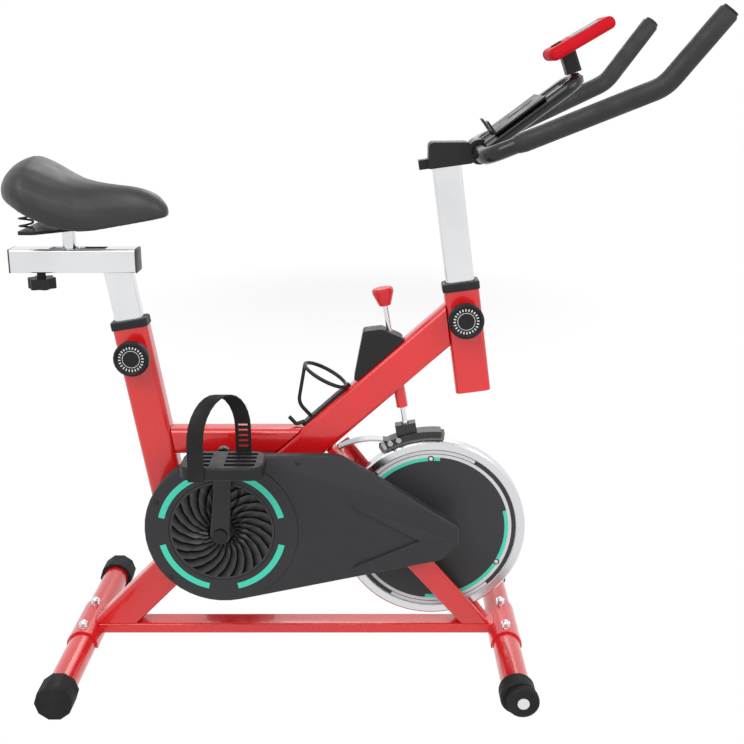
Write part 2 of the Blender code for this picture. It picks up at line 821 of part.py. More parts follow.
main_planes = (
    (bottom_bracket_centre + mitre * WELD_GAP / 2, mitre),
    (head_top - head_front * tube_face, head_front),
)
main_tube = square_tube("main_tube", bottom_bracket_centre, main_axis, tube_sizes, main_planes, RED)
along_to_rod = (bottom_bracket_centre - rod_top).dot(main_up) / rod_up.dot(main_up)
rod_in_tube = rod_top + rod_up * along_to_rod
sleeve_end = rod_in_tube - rod_up * (tube_face / rod_up.dot(main_up) + SLEEVE_DROP)
sleeve = round_rod("brake_sleeve", sleeve_end, rod_in_tube, SLEEVE_RADIUS, None, SMALL_STEPS, True)
fuse(main_tube, sleeve)
rod_drill = round_rod("rod_drill", rod_top - rod_up * 2 * rod_length, rod_top, rod_bore,
                      None, SMALL_STEPS, True)
cut(main_tube, shell_bore("main_shell_bore"), rod_drill)

rear_planes = ((side(0, rail_top + WELD_GAP), Z_AXIS), (bottom_bracket_centre - mitre * WELD_GAP / 2, mitre))
rear_leg = square_tube("rear_leg", bottom_bracket_centre, rear_axis, tube_sizes, rear_planes, RED)
cut(rear_leg, shell_bore("rear_shell_bore"))
cut(rear_leg, foot_cylinder("rear_leg_cope", REAR_FOOT_X, bracket_outer + WELD_GAP))

seat_planes = ((bottom_bracket_centre + rear_up * tube_face, rear_up), (seat_top, seat_up))
seat_tube = square_tube("seat_tube", seat_top, seat_up, tube_sizes, seat_planes, RED)
top_sizes = (TUBE_WIDTH, TOP_TUBE_DEPTH, TUBE_CORNER, TUBE_WALL)
top_planes = (
    (seat_top + seat_front * tube_face, seat_front),
    (bottom_bracket_centre + main_up * tube_face, main_up),
)
square_tube("top_tube", side(0, TOP_TUBE_Z), x_axis, top_sizes, top_planes, RED)
head_planes = ((head_top - head_up * HEAD_TUBE_LENGTH, head_up), (head_top, head_up))
head_tube = square_tube("head_tube", head_top, head_up, tube_sizes, head_planes, RED)

cup_bore = CRANK_AXLE_RADIUS + TURN_GAP
shell_profile = (
    (SHELL_RADIUS, SHELL_HALF),
    (SHELL_RADIUS, -SHELL_HALF),
    (cup_bore, -SHELL_HALF),
    (cup_bore, CUP_LENGTH - SHELL_HALF),
    (SHELL_RADIUS - SHELL_WALL, CUP_LENGTH - SHELL_HALF),
    (SHELL_RADIUS - SHELL_WALL, SHELL_HALF - CUP_LENGTH),
    (cup_bore, SHELL_HALF - CUP_LENGTH),
    (cup_bore, SHELL_HALF),
)
turned("bottom_bracket", shell_profile, place(bottom_bracket_centre, Y_AXIS, Z_AXIS), RED)


# Posts in their collars, held by pop pins

def collar(name, top, up):
    """Flanged plastic bush in a tube's mouth."""
    across = (Y_AXIS, Y_AXIS.cross(up))
    inner_wide = POST_WIDTH + 2 * SLIDE_GAP
    inner_deep = POST_DEPTH + 2 * SLIDE_GAP
    sleeve_wide = TUBE_WIDTH - 2 * TUBE_WALL - 2 * WELD_GAP
    sleeve_deep = TUBE_DEPTH - 2 * TUBE_WALL - 2 * WELD_GAP
    flange_wide = TUBE_WIDTH + COLLAR_WALL
    flange_deep = TUBE_DEPTH + COLLAR_WALL
    steps = (
        (sleeve_wide, sleeve_deep, -COLLAR_SLEEVE),
        (sleeve_wide, sleeve_deep, WELD_GAP),
        (flange_wide, flange_deep, WELD_GAP),
        (flange_wide, flange_deep, COLLAR_HEIGHT - CAP_RIM),
        (flange_wide - CAP_RIM, flange_deep - CAP_RIM, COLLAR_HEIGHT),
        (inner_wide, inner_deep, COLLAR_HEIGHT),
        (inner_wide, inner_deep, -COLLAR_SLEEVE),
    )
    rings = []
    for wide, deep, height in steps:
        outline = rounded_rect(wide, deep, POST_CORNER)
        rings.append([top + across[0] * u + across[1] * v + up * height for u, v in outline])
    return lofted(name, rings, BLACK, ring_closed=True)


def post(name, top, up, pitch, high_plane):
    low = top - up * (PIN_BELOW_TOP + pitch * (POST_HOLES - 1) + POST_TAIL)
    sizes = (POST_WIDTH, POST_DEPTH, POST_CORNER, POST_WALL)
    thing = square_tube(name, top, up, sizes, ((low, up), high_plane), CHROME, top)
    for i in range(POST_HOLES):
        level = top - up * (PIN_BELOW_TOP + pitch * i)
        drill = round_rod(f"{name}_hole_{i}", level - Y_AXIS * POST_WIDTH, level, PIN_HOLE_RADIUS,
                          None, SMALL_STEPS, True)
        cut(thing, drill)
    return thing


boss_end = TUBE_WIDTH / 2 + BOSS_LENGTH
knob_start = boss_end + TURN_GAP
pin_tip = POST_WIDTH / 2 - PIN_REACH


def toothed_outline(radius, teeth, depth, points_per_tooth=4):
    count = teeth * points_per_tooth
    outline = []
    for i in range(count):
        angle = 2 * math.pi * i / count
        reach = radius - depth * (0.5 - 0.5 * math.cos(teeth * angle))
        outline.append((reach * math.cos(angle), reach * math.sin(angle)))
    return outline


def pop_pin(name, tube, top, up):
    """Toothed boss welded to the tube, with a sprung pin through it and a knob that turns on the pin."""
    level = top - up * PIN_BELOW_TOP
    outwards = place(level, -Y_AXIS, up)
    boss = prism(name + "_boss", toothed_outline(BOSS_RADIUS, BOSS_TEETH, BOSS_TOOTH),
                 TUBE_WIDTH / 2 - TUBE_WALL / 2, boss_end, outwards, None, None, True)
    fuse(tube, boss)
    pin_bore = PIN_RADIUS + TURN_GAP
    drill = round_rod(name + "_drill", level, level - Y_AXIS * 2 * boss_end, pin_bore,
                      None, SMALL_STEPS, True)
    cut(tube, drill)
    pin_top = knob_start + KNOB_BORE - WELD_GAP
    pin_profile = (
        (0, pin_top),
        (PIN_RADIUS, pin_top),
        (PIN_RADIUS, pin_tip + PIN_TAPER),
        (PIN_RADIUS - PIN_TAPER, pin_tip),
        (0, pin_tip),
    )
    turned(name + "_pin", pin_profile, outwards, STEEL, SMALL_STEPS)
    end = knob_start + KNOB_LENGTH
    knob_bore = PIN_RADIUS + WELD_GAP
    knob_profile = (
        (0, end - KNOB_DISH),
        (KNOB_RADIUS - KNOB_RIM - CAP_RIM, end - KNOB_DISH),
        (KNOB_RADIUS - KNOB_RIM, end),
        (KNOB_RADIUS - CAP_RIM, end),
        (KNOB_RADIUS, end - CAP_RIM),
        (KNOB_RADIUS, knob_start + KNOB_LENGTH / 3),
        (KNOB_NECK_RADIUS, knob_start),
        (knob_bore, knob_start),
        (knob_bore, knob_start + KNOB_BORE),
        (0, knob_start + KNOB_BORE),
    )
    turned(name + "_knob", knob_profile, outwards, BLACK)


housing_low = HOUSING_Z - HOUSING_SIDE / 2
collar("seat_collar", seat_top, seat_up)
collar("head_collar", head_top, head_up)
post("seat_post", seat_top, seat_up, SEAT_HOLE_PITCH, (side(0, housing_low - WELD_GAP), Z_AXIS))
handle_top = head_top + head_up * (POST_TOP_Z - head_top.z) / head_up.z
post("handle_post", head_top, head_up, HEAD_HOLE_PITCH, (handle_top, head_up))
pop_pin("seat", seat_tube, seat_top, seat_up)
pop_pin("head", head_tube, head_top, head_up)


# Seat slide: a slotted housing on the post, a slider inside it and a star knob below

housing_middle = side(HOUSING_REAR_X + HOUSING_LENGTH / 2, HOUSING_Z)
housing_planes = (
    (side(HOUSING_REAR_X, HOUSING_Z), x_axis),
    (side(HOUSING_REAR_X + HOUSING_LENGTH, HOUSING_Z), x_axis),
)
housing_sizes = (HOUSING_SIDE, HOUSING_SIDE, HOUSING_CORNER, HOUSING_WALL)
housing = square_tube("slide_housing", housing_middle, x_axis, housing_sizes, housing_planes, CHROME)
at_housing = Matrix.Translation(housing_middle)
half_side = HOUSING_SIDE / 2 - HOUSING_WALL / 2
half_length = HOUSING_LENGTH / 2
end_walls = (
    ("rear", -half_length, END_WALL - half_length),
    ("front", half_length - END_WALL, half_length),
)
for label, low, high in end_walls:
    wall = box(label + "_end_wall", (low, -half_side, -half_side), (high, half_side, half_side), at_housing)
    fuse(housing, wall)


def slot(name, x, radius, z_low, z_high):
    reach = radius + 2 * SLIDE_GAP
    low = (x - SLIDER_BACK - reach, -reach, z_low)
    high = (x + SLIDER_FORWARD + reach, reach, z_high)
    return box(name, low, high, Matrix.Identity(4))


cut(housing, slot("stub_slot", STUB_X, STUB_RADIUS, HOUSING_Z, HOUSING_Z + HOUSING_SIDE))
cut(housing, slot("screw_slot", SCREW_X, SCREW_RADIUS, HOUSING_Z - HOUSING_SIDE, HOUSING_Z))

slider_half = HOUSING_SIDE / 2 - HOUSING_WALL - SLIDE_GAP
slider_low = SCREW_X - SLIDER_OVERHANG
slider_high = STUB_X + SLIDER_OVERHANG
slider_outline = rounded_rect(2 * slider_half, 2 * slider_half, HOUSING_CORNER - HOUSING_WALL - SLIDE_GAP)
slider_rings = [[Vector((x, u, HOUSING_Z + v)) for u, v in slider_outline] for x in (slider_low, slider_high)]
slider = lofted("seat_slider", slider_rings, CHROME)
stub = round_rod("saddle_stub", side(STUB_X, HOUSING_Z), side(STUB_X, STUB_TOP_Z), STUB_RADIUS,
                 None, ROUND_STEPS, True)
fuse(slider, stub)
screw_bore = SCREW_RADIUS + TURN_GAP
screw_drill = round_rod("screw_drill", side(SCREW_X, HOUSING_Z - HOUSING_SIDE), side(SCREW_X, HOUSING_Z),
                        screw_bore, None, SMALL_STEPS, True)
cut(slider, screw_drill)

neck_top = housing_low - TURN_GAP
star_top = neck_top - NECK_LENGTH
star_where = place(side(SCREW_X, 0), Z_AXIS, x_axis)
star = prism("slider_knob", toothed_outline(STAR_RADIUS, STAR_LOBES, STAR_DIP, 8),
             star_top - STAR_HEIGHT, star_top, star_where, BLACK, side(SCREW_X, star_top))
neck_profile = (
    (0, HOUSING_Z - TURN_GAP),
    (SCREW_RADIUS, HOUSING_Z - TURN_GAP),
    (SCREW_RADIUS, neck_top),
    (NECK_RADIUS, neck_top),
    (NECK_RADIUS, star_top - STAR_HEIGHT / 2),
    (0, star_top - STAR_HEIGHT / 2),
)
fuse(star, turned("slider_neck", neck_profile, star_where, None, SMALL_STEPS, True))


# Saddle: a padded cushion over a moulded pan, two coil springs and a clamp plate

def between(table, share):
    """Smooth value from a table of (share, value) stops; the slope at a stop comes from its neighbours."""
    last = len(table) - 1
    spot = 0
    while spot < last - 1 and share > table[spot + 1][0]:
        spot += 1

    def slope(i):
        before = table[max(i - 1, 0)]
        after = table[min(i + 1, last)]
        return (after[1] - before[1]) / (after[0] - before[0])

    low, first = table[spot]
    high, second = table[spot + 1]
    span = high - low
    step = (share - low) / span
    rise = step * step * (3 - 2 * step)
    start_pull = step * (1 - step) ** 2 * span * slope(spot)
    end_pull = step * step * (1 - step) * span * slope(spot + 1)
    return first + (second - first) * rise + start_pull - end_pull


def saddle_arch(share, side_inset, below=None):
    """Crowned arch across the saddle whose sides draw in below the widest line.

    The skin is the arch with no value below; the cushion's underside and the pan lie below it.
    """
    width = between(SADDLE_HALF_WIDTHS, share) - side_inset
    skirt = between(SADDLE_SKIRTS, share)
    crest = between(SADDLE_TOPS, share)
    middle = skirt + WIDEST_SHARE * (crest - skirt)
    top = crest
    if below is not None:
        top = max(crest - PAD_THICKNESS, skirt + INNER_SHARE * (crest - skirt)) - below
    x = SADDLE_REAR_X + SADDLE_LENGTH * share
    points = []
    for i in range(SECTION_STEPS + 1):
        angle = SADDLE_TUCK * (2 * i / SECTION_STEPS - 1)
        rise = math.cos(angle)
        if rise >= 0:
            z = middle + (top - middle) * rise
        else:
            z = middle - (middle - skirt) * rise / math.cos(SADDLE_TUCK)
        points.append(Vector((x, width * math.sin(angle), z)))
    return points


def saddle_shell(name, skin, underside, shares, finish):
    """Arched shell between two arches, each given by its side inset and its depth below."""
    rings = [saddle_arch(share, *skin) + saddle_arch(share, *underside)[::-1] for share in shares]
    return lofted(name, rings, finish)


pan_side = PAD_SIDE + PAN_CLEARANCE
pan_under_side = pan_side + PAN_THICKNESS
pan_under_drop = PAN_CLEARANCE + PAN_THICKNESS
pad_shares = [0.5 - 0.5 * math.cos(math.pi * i / SADDLE_STATIONS) for i in range(SADDLE_STATIONS + 1)]
pan_shares = pad_shares[PAN_FIRST:PAN_LAST + 1]
saddle_shell("saddle_pad", (0, None), (PAD_SIDE, 0), pad_shares, LEATHER)
saddle_shell("saddle_pan", (pan_side, PAN_CLEARANCE), (pan_under_side, pan_under_drop), pan_shares, BLACK)


def pan_underside_z(x, y):
    """Height of the pan's underside at a place."""
    arch = saddle_arch((x - SADDLE_REAR_X) / SADDLE_LENGTH, pan_under_side, pan_under_drop)
    for first, second in zip(arch, arch[1:]):
        if first.y <= y <= second.y:
            return first.z + (second.z - first.z) * (y - first.y) / (second.y - first.y)
    return min(point.z for point in arch)


clamp_low = HOUSING_Z + HOUSING_SIDE / 2 + CLAMP_RISE
plate_top = clamp_low + FRAME_PLATE
spring_half = SPRING_SPACING / 2
spring_reach = SPRING_COIL_RADIUS + SPRING_WIRE_RADIUS
plate_rear = SPRING_X - spring_reach
plate_corners = (
    (STUB_X + STUB_RADIUS + CLAMP_RING, -STUB_RADIUS),
    (STUB_X + STUB_RADIUS + CLAMP_RING, STUB_RADIUS),
    (SPRING_X + spring_reach, spring_half + spring_reach),
    (plate_rear, spring_half + spring_reach),
    (plate_rear, -spring_half - spring_reach),
    (SPRING_X + spring_reach, -spring_half - spring_reach),
)
plate_radii = (PLATE_CORNER,) * len(plate_corners)
saddle_frame = prism("saddle_frame", rounded_outline(plate_corners, plate_radii), clamp_low, plate_top,
                     Matrix.Identity(4), BLACK)
ring_outer = STUB_RADIUS + CLAMP_RING
ring_top = STUB_TOP_Z + CLAMP_RING
clamp_cup = round_rod("clamp_cup", side(STUB_X, clamp_low), side(STUB_X, ring_top), ring_outer,
                      None, ROUND_STEPS, True)
bore_low = side(STUB_X, clamp_low - CLAMP_RING)
bore_high = side(STUB_X, STUB_TOP_Z + WELD_GAP)
clamp_bore = round_rod("clamp_bore", bore_low, bore_high, STUB_RADIUS + WELD_GAP, None, ROUND_STEPS, True)
fuse(saddle_frame, clamp_cup)
cut(saddle_frame, clamp_bore)

spring_bottom = plate_top + SPRING_WIRE_RADIUS + WELD_GAP
spring_ceiling = min(
    pan_underside_z(SPRING_X + dx, spring_half + dy)
    for dx in (-spring_reach, 0, spring_reach)
    for dy in (-spring_reach, 0, spring_reach)
)
spring_top = spring_ceiling - SPRING_WIRE_RADIUS - WELD_GAP
for sign in (-1, 1):
    count = SPRING_CURLS * SPRING_POINTS_PER_CURL
    coil = []
    for i in range(count + 1):
        angle = 2 * math.pi * i / SPRING_POINTS_PER_CURL
        height = spring_bottom + (spring_top - spring_bottom) * i / count
        coil.append(Vector((
            SPRING_X + SPRING_COIL_RADIUS * math.cos(angle),
            sign * spring_half + SPRING_COIL_RADIUS * math.sin(angle),
            height,
        )))
    bent_tube(mirrored_name("saddle_spring", sign), coil, SPRING_WIRE_RADIUS, STEEL, 1)
    spring_gap = min(
        (coil[i] - coil[j]).length
        for i in range(count + 1)
        for j in range(i + SPRING_POINTS_PER_CURL // 2, count + 1)
    ) - 2 * SPRING_WIRE_RADIUS
    print(f"{mirrored_name('saddle_spring', sign)}: least gap to itself {spring_gap * 1000:.2f} mm")


# Handlebar: one bent bar with two horns, an inner loop, a tablet tray and the console

clamp_where = place(handle_top, head_up, head_front)
bar_centre = side(BAR_X, BAR_Z)
block_corners = (
    (-CLAMP_REAR, WELD_GAP),
    (CLAMP_FRONT, WELD_GAP),
    (CLAMP_FRONT, CLAMP_HEIGHT * 0.8),
    (-CLAMP_REAR * 0.8, CLAMP_HEIGHT),
)
block_fillets = (CLAMP_FOOT_CORNER, CLAMP_FOOT_CORNER, CLAMP_CORNER, CLAMP_CORNER)
block_outline = rounded_outline(block_corners, block_fillets)
half_clamp = CLAMP_WIDTH / 2
block_rings = [
    [clamp_where @ Vector((x, y, z)) for x, z in block_outline] for y in (-half_clamp, half_clamp)
]
handle_clamp = lofted("handle_clamp", block_rings, BLACK)
nub = box("clamp_nub", (-CLAMP_REAR - NUB_LENGTH, -half_clamp / 2, WELD_GAP),
          (0, half_clamp / 2, NUB_HEIGHT), clamp_where)
bar_ring = round_rod("clamp_ring", bar_centre - Y_AXIS * half_clamp, bar_centre + Y_AXIS * half_clamp,
                     BAR_RADIUS + RING_WALL, None, 24, True)
bar_bore = round_rod("clamp_bar_bore", bar_centre - Y_AXIS * CLAMP_WIDTH, bar_centre + Y_AXIS * CLAMP_WIDTH,
                     BAR_RADIUS + WELD_GAP, None, 24, True)
fuse(handle_clamp, nub, bar_ring)
cut(handle_clamp, bar_bore)

right_half = [(x, -y, z) for x, y, z in (HORN_TIP, HORN_BEND)] + [(BAR_X, -BAR_BASE_HALF, BAR_Z)]
left_half = [(x, -y, z) for x, y, z in reversed(right_half)]
bar_route = filleted_route(right_half + left_half, (HORN_BEND_RADIUS, BASE_BEND, BASE_BEND, HORN_BEND_RADIUS))
bent_tube("handlebar", bar_route, BAR_RADIUS, GLOSS, 3)

loop_along = tilt_axis(LOOP_ANGLE)
loop_up = tilt_axis(LOOP_ANGLE + math.pi / 2)
loop_start = bar_centre + loop_along * (BAR_RADIUS + WELD_GAP)
loop_end = bar_centre + loop_along * LOOP_LENGTH
loop_points = (
    loop_start - Y_AXIS * LOOP_HALF,
    loop_end - Y_AXIS * LOOP_HALF,
    loop_end + Y_AXIS * LOOP_HALF,
    loop_start + Y_AXIS * LOOP_HALF,
)
bent_tube("inner_bar", filleted_route(loop_points, (LOOP_BEND, LOOP_BEND)), LOOP_RADIUS, GLOSS, 2)

tray_where = place(bar_centre + loop_up * (LOOP_RADIUS + WELD_GAP), loop_up, loop_along)
tray_outline = (
    (TRAY_START, 0),
    (TRAY_START + TRAY_LENGTH, 0),
    (TRAY_START + TRAY_LENGTH, TRAY_PLATE),
    (TRAY_START + TRAY_PLATE, TRAY_PLATE),
    (TRAY_START + TRAY_PLATE, TRAY_LIP),
    (TRAY_START, TRAY_LIP),
)
tray_rings = [
    [tray_where @ Vector((x, y, z)) for x, z in tray_outline] for y in (-TRAY_WIDTH / 2, TRAY_WIDTH / 2)
]
tray = lofted("tablet_tray", tray_rings, BLACK)
tab_reach = TRAY_WIDTH / 2 - TAB_WIDTH
tab_gap = box("tab_gap", (0, -tab_reach, 2 * TRAY_PLATE),
              (TRAY_START + TRAY_LENGTH, tab_reach, 2 * TRAY_LIP), tray_where)
slot_low = TRAY_START + TRAY_LENGTH * TRAY_SLOT_LOW
slot_high = TRAY_START + TRAY_LENGTH * TRAY_SLOT_HIGH
tray_slot = box("tray_slot", (slot_low, -TRAY_SLOT_WIDTH / 2, -TRAY_LIP),
                (slot_high, TRAY_SLOT_WIDTH / 2, TRAY_LIP / 2), tray_where)
cut(tray, tab_gap, tray_slot)

console_middle = side(*CONSOLE_CENTRE)
console_up = tilt_axis(CONSOLE_TILT + math.pi / 2)
console_along = tilt_axis(CONSOLE_TILT)
console_where = place(console_middle, console_up, console_along)
half_depth = CONSOLE_DEPTH / 2
console_rings = []
console_steps = (
    (-half_depth, CONSOLE_EDGE),
    (CONSOLE_EDGE - half_depth, 0),
    (half_depth - CONSOLE_EDGE, 0),
    (half_depth, CONSOLE_EDGE),
)
for height, inset in console_steps:
    outline = rounded_rect(CONSOLE_LENGTH - 2 * inset, CONSOLE_WIDTH - 2 * inset, CONSOLE_CORNER - inset, 4)
    console_rings.append([console_where @ Vector((x, y, height)) for x, y in outline])
console = lofted("console", console_rings, RED)
screen_low = (SCREEN_FORWARD - SCREEN_LENGTH / 2, -SCREEN_WIDTH / 2, half_depth - SCREEN_DEPTH)
screen_high = (SCREEN_FORWARD + SCREEN_LENGTH / 2, SCREEN_WIDTH / 2, CONSOLE_DEPTH)
screen = box("screen_recess", screen_low, screen_high, console_where)
button_where = console_where @ Matrix.Translation((BUTTON_BACK, 0, half_depth - BUTTON_SEAT))
well_radius = BUTTON_RADIUS + TURN_GAP
well = turned("button_well", ((0, CONSOLE_DEPTH), (well_radius, CONSOLE_DEPTH), (well_radius, 0), (0, 0)),
              button_where, None, 24, True)
cut(console, screen, well)
button_low = BUTTON_TRAVEL + TURN_GAP
button_high = BUTTON_SEAT + BUTTON_RISE
button_profile = (
    (0, button_high),
    (BUTTON_RADIUS - BUTTON_EDGE, button_high),
    (BUTTON_RADIUS, button_high - BUTTON_EDGE),
    (BUTTON_RADIUS, button_low),
    (0, button_low),
)
turned("console_button", button_profile, button_where, BLACK, 24)

brace_foot = loop_end
brace_head = console_middle - console_up * half_depth - console_along * CONSOLE_LENGTH * BRACE_BACK
brace_along = (brace_head - brace_foot).normalized()
brace_across = (Y_AXIS, Y_AXIS.cross(brace_along))
brace_outline = rounded_rect(STRAP_WIDTH, BRACE_DEPTH, BRACE_CORNER)
brace_planes = (
    (loop_end + brace_along * (LOOP_RADIUS + WELD_GAP), brace_along),
    (console_middle - console_up * (half_depth + WELD_GAP), console_up),
)
brace_rings = [
    cut_ring(brace_outline, brace_foot, brace_along, brace_across, plane) for plane in brace_planes
]
lofted("console_bracket", brace_rings, BLACK)


# Flywheel, its axle and the fork that carries them

axle_where = place(axle_centre, -Y_AXIS, Z_AXIS)
fork_outer = FORK_HALF + FORK_THICKNESS / 2
guard_back = fork_outer + GUARD_GAP
belt_middle = guard_back + BACK_PLATE + BELT_GAP + BELT_WIDTH / 2
pulley_half = BELT_WIDTH / 2 + PULLEY_FLANGE
guard_face = belt_middle + pulley_half + BELT_GAP + GUARD_WALL

half_rim = FLYWHEEL_WIDTH / 2
half_web = WEB_WIDTH / 2
rim_inner = FLYWHEEL_RADIUS - RIM_DEPTH
wheel_bore = AXLE_RADIUS + WELD_GAP
flywheel_profile = (
    (FLYWHEEL_RADIUS - RIM_EDGE, half_rim),
    (FLYWHEEL_RADIUS, half_rim - RIM_EDGE),
    (FLYWHEEL_RADIUS, RIM_EDGE - half_rim),
    (FLYWHEEL_RADIUS - RIM_EDGE, -half_rim),
    (rim_inner, -half_rim),
    (rim_inner, -half_web),
    (HUB_RADIUS, -half_web),
    (HUB_RADIUS, -HUB_HALF),
    (wheel_bore, -HUB_HALF),
    (wheel_bore, HUB_HALF),
    (HUB_RADIUS, HUB_HALF),
    (HUB_RADIUS, half_web),
    (rim_inner, half_web),
    (rim_inner, half_rim),
)
turned("flywheel", flywheel_profile, axle_where, STEEL, FLYWHEEL_STEPS)

axle_far = fork_outer + AXLE_NUT
axle_near = belt_middle + pulley_half
groove = SMALL_PULLEY_RADIUS
flange = SMALL_PULLEY_RADIUS + BELT_THICKNESS / 2
pulley_low = belt_middle - pulley_half
axle_profile = (
    (0, axle_near),
    (flange, axle_near),
    (flange, axle_near - PULLEY_FLANGE),
    (groove, axle_near - PULLEY_FLANGE),
    (groove, pulley_low + PULLEY_FLANGE),
    (flange, pulley_low + PULLEY_FLANGE),
    (flange, pulley_low),
    (AXLE_RADIUS, pulley_low),
    (AXLE_RADIUS, -fork_outer - TURN_GAP),
    (AXLE_NUT_RADIUS, -fork_outer - TURN_GAP),
    (AXLE_NUT_RADIUS, -axle_far),
    (0, -axle_far),
)
turned("flywheel_axle", axle_profile, axle_where, STEEL, 20)

fork_axis = tilt_axis(FORK_ANGLE)
fork_across = tilt_axis(FORK_ANGLE - math.pi / 2)
fork_foot_half = RAIL_WIDTH / 2 - FORK_THICKNESS / 2


def fork_point(z, y):
    x = FORK_FOOT_X + (z - rail_top) * fork_axis.x / fork_axis.z
    return side(x, z, y)


def fork_leg(name, sign, hidden):
    """Flat tube that spreads from the rail until it clears the flywheel, then runs straight."""
    stops = (
        (fork_point(rail_top + WELD_GAP, sign * fork_foot_half), Z_AXIS),
        (fork_point(FORK_BEND_Z, sign * FORK_HALF), fork_axis),
        (fork_point(FORK_TOP_Z, sign * FORK_HALF), fork_axis),
    )
    outer = rounded_rect(FORK_THICKNESS, FORK_WIDTH, FORK_CORNER)
    inner = rounded_rect(FORK_THICKNESS - 2 * FORK_WALL, FORK_WIDTH - 2 * FORK_WALL, FORK_CORNER - FORK_WALL)
    outer_rings = [cut_ring(outer, p, fork_axis, (Y_AXIS, fork_across), (p, n)) for p, n in stops]
    inner_rings = [cut_ring(inner, p, fork_axis, (Y_AXIS, fork_across), (p, n)) for p, n in stops]
    return lofted(name, outer_rings + inner_rings[::-1], RED, None, hidden, True)


def axle_plate(name, sign):
    """Dropout plate from the leg's edge to the axle."""
    foot = fork_point(FORK_BEND_Z, 0)
    reach = AXLE_PLATE_RADIUS * AXLE_PLATE_SPREAD
    root_low = foot - fork_axis * reach
    root_high = foot + fork_axis * reach
    eye = arc_points((FLYWHEEL_X, FLYWHEEL_Z), AXLE_PLATE_RADIUS, FORK_ANGLE - math.pi, FORK_ANGLE,
                     SMALL_STEPS)
    outline = [(root_low.x, root_low.z)] + eye + [(root_high.x, root_high.z)]
    low = sign * FORK_HALF - AXLE_PLATE / 2
    return side_prism(name, outline, low, low + AXLE_PLATE, None, None, True)


fork = fork_leg("fork", -1, False)
fork_left = fork_leg("fork_leg_left", 1, True)
bridge_centre = fork_point(FORK_TOP_Z - BRIDGE_DEPTH / 2, 0)
bridge_where = place(bridge_centre, fork_axis, Y_AXIS)
bridge_reach = FORK_HALF - FORK_THICKNESS / 2 + FORK_WALL / 2
bridge = box("fork_bridge", (-bridge_reach, -BRIDGE_HEIGHT / 2, -BRIDGE_DEPTH / 2),
             (bridge_reach, BRIDGE_HEIGHT / 2, BRIDGE_DEPTH / 2), bridge_where)
stay_outline = rounded_rect(STAY_WIDTH, STAY_DEPTH, STAY_CORNER)
stay_planes = (
    (bridge_centre, main_up),
    (bottom_bracket_centre - main_up * tube_face, main_up),
)
stay_across = (Y_AXIS, Y_AXIS.cross(main_up))
stay_rings = [cut_ring(stay_outline, bridge_centre, main_up, stay_across, plane) for plane in stay_planes]
stay = lofted("fork_stay", stay_rings, None, None, True)
fuse(fork, fork_left, bridge, stay, axle_plate("axle_plate_right", -1), axle_plate("axle_plate_left", 1))
axle_drill = round_rod("axle_drill", axle_centre - Y_AXIS * axle_far, axle_centre + Y_AXIS * axle_far,
                       AXLE_RADIUS + TURN_GAP, None, 24, True)
cut(fork, axle_drill)


# Cranks, drive pulley and belt

def circles_hull(first, first_radius, second, second_radius, step=math.radians(15)):
    """Anticlockwise outline round two circles."""
    line = Vector(second) - Vector(first)
    heading = math.atan2(line.y, line.x)
    open_angle = math.acos((first_radius - second_radius) / line.length)
    far = 2 * open_angle
    near = 2 * math.pi - far
    back = heading - open_angle
    outline = arc_points(second, second_radius, back, back + far, max(4, round(far / step)))
    turn = heading + open_angle
    outline += arc_points(first, first_radius, turn, turn + near, max(4, round(near / step)))
    return outline


crank_inner = guard_face + CRANK_GAP
crank_outer = crank_inner + CRANK_THICKNESS
end = crank_outer + TURN_GAP
crank_axle_profile = (
    (0, end + AXLE_HEAD),
    (AXLE_HEAD_RADIUS, end + AXLE_HEAD),
    (AXLE_HEAD_RADIUS, end),
    (CRANK_AXLE_RADIUS, end),
    (CRANK_AXLE_RADIUS, -end),
    (AXLE_HEAD_RADIUS, -end),
    (AXLE_HEAD_RADIUS, -end - AXLE_HEAD),
    (0, -end - AXLE_HEAD),
)
crank_where = place(bottom_bracket_centre, -Y_AXIS, Z_AXIS)
turned("crank_axle", crank_axle_profile, crank_where, STEEL, 24)

web_low = belt_middle - PULLEY_WEB / 2
web_high = belt_middle + PULLEY_WEB / 2
pulley_bore = CRANK_AXLE_RADIUS + WELD_GAP
drive_flange = DRIVE_PULLEY_RADIUS + BELT_THICKNESS / 2
drive_near = belt_middle + pulley_half
drive_low = belt_middle - pulley_half
drive_profile = (
    (drive_flange, drive_near),
    (drive_flange, drive_near - PULLEY_FLANGE),
    (DRIVE_PULLEY_RADIUS, drive_near - PULLEY_FLANGE),
    (DRIVE_PULLEY_RADIUS, drive_low + PULLEY_FLANGE),
    (drive_flange, drive_low + PULLEY_FLANGE),
    (drive_flange, drive_low),
    (DRIVE_PULLEY_RADIUS - PULLEY_RIM, drive_low),
    (DRIVE_PULLEY_RADIUS - PULLEY_RIM, web_low),
    (HUB_RADIUS, web_low),
    (HUB_RADIUS, drive_low),
    (pulley_bore, drive_low),
    (pulley_bore, drive_near),
    (HUB_RADIUS, drive_near),
    (HUB_RADIUS, web_high),
    (DRIVE_PULLEY_RADIUS - PULLEY_RIM, web_high),
    (DRIVE_PULLEY_RADIUS - PULLEY_RIM, drive_near),
)
turned("drive_pulley", drive_profile, crank_where, BLACK, 24)

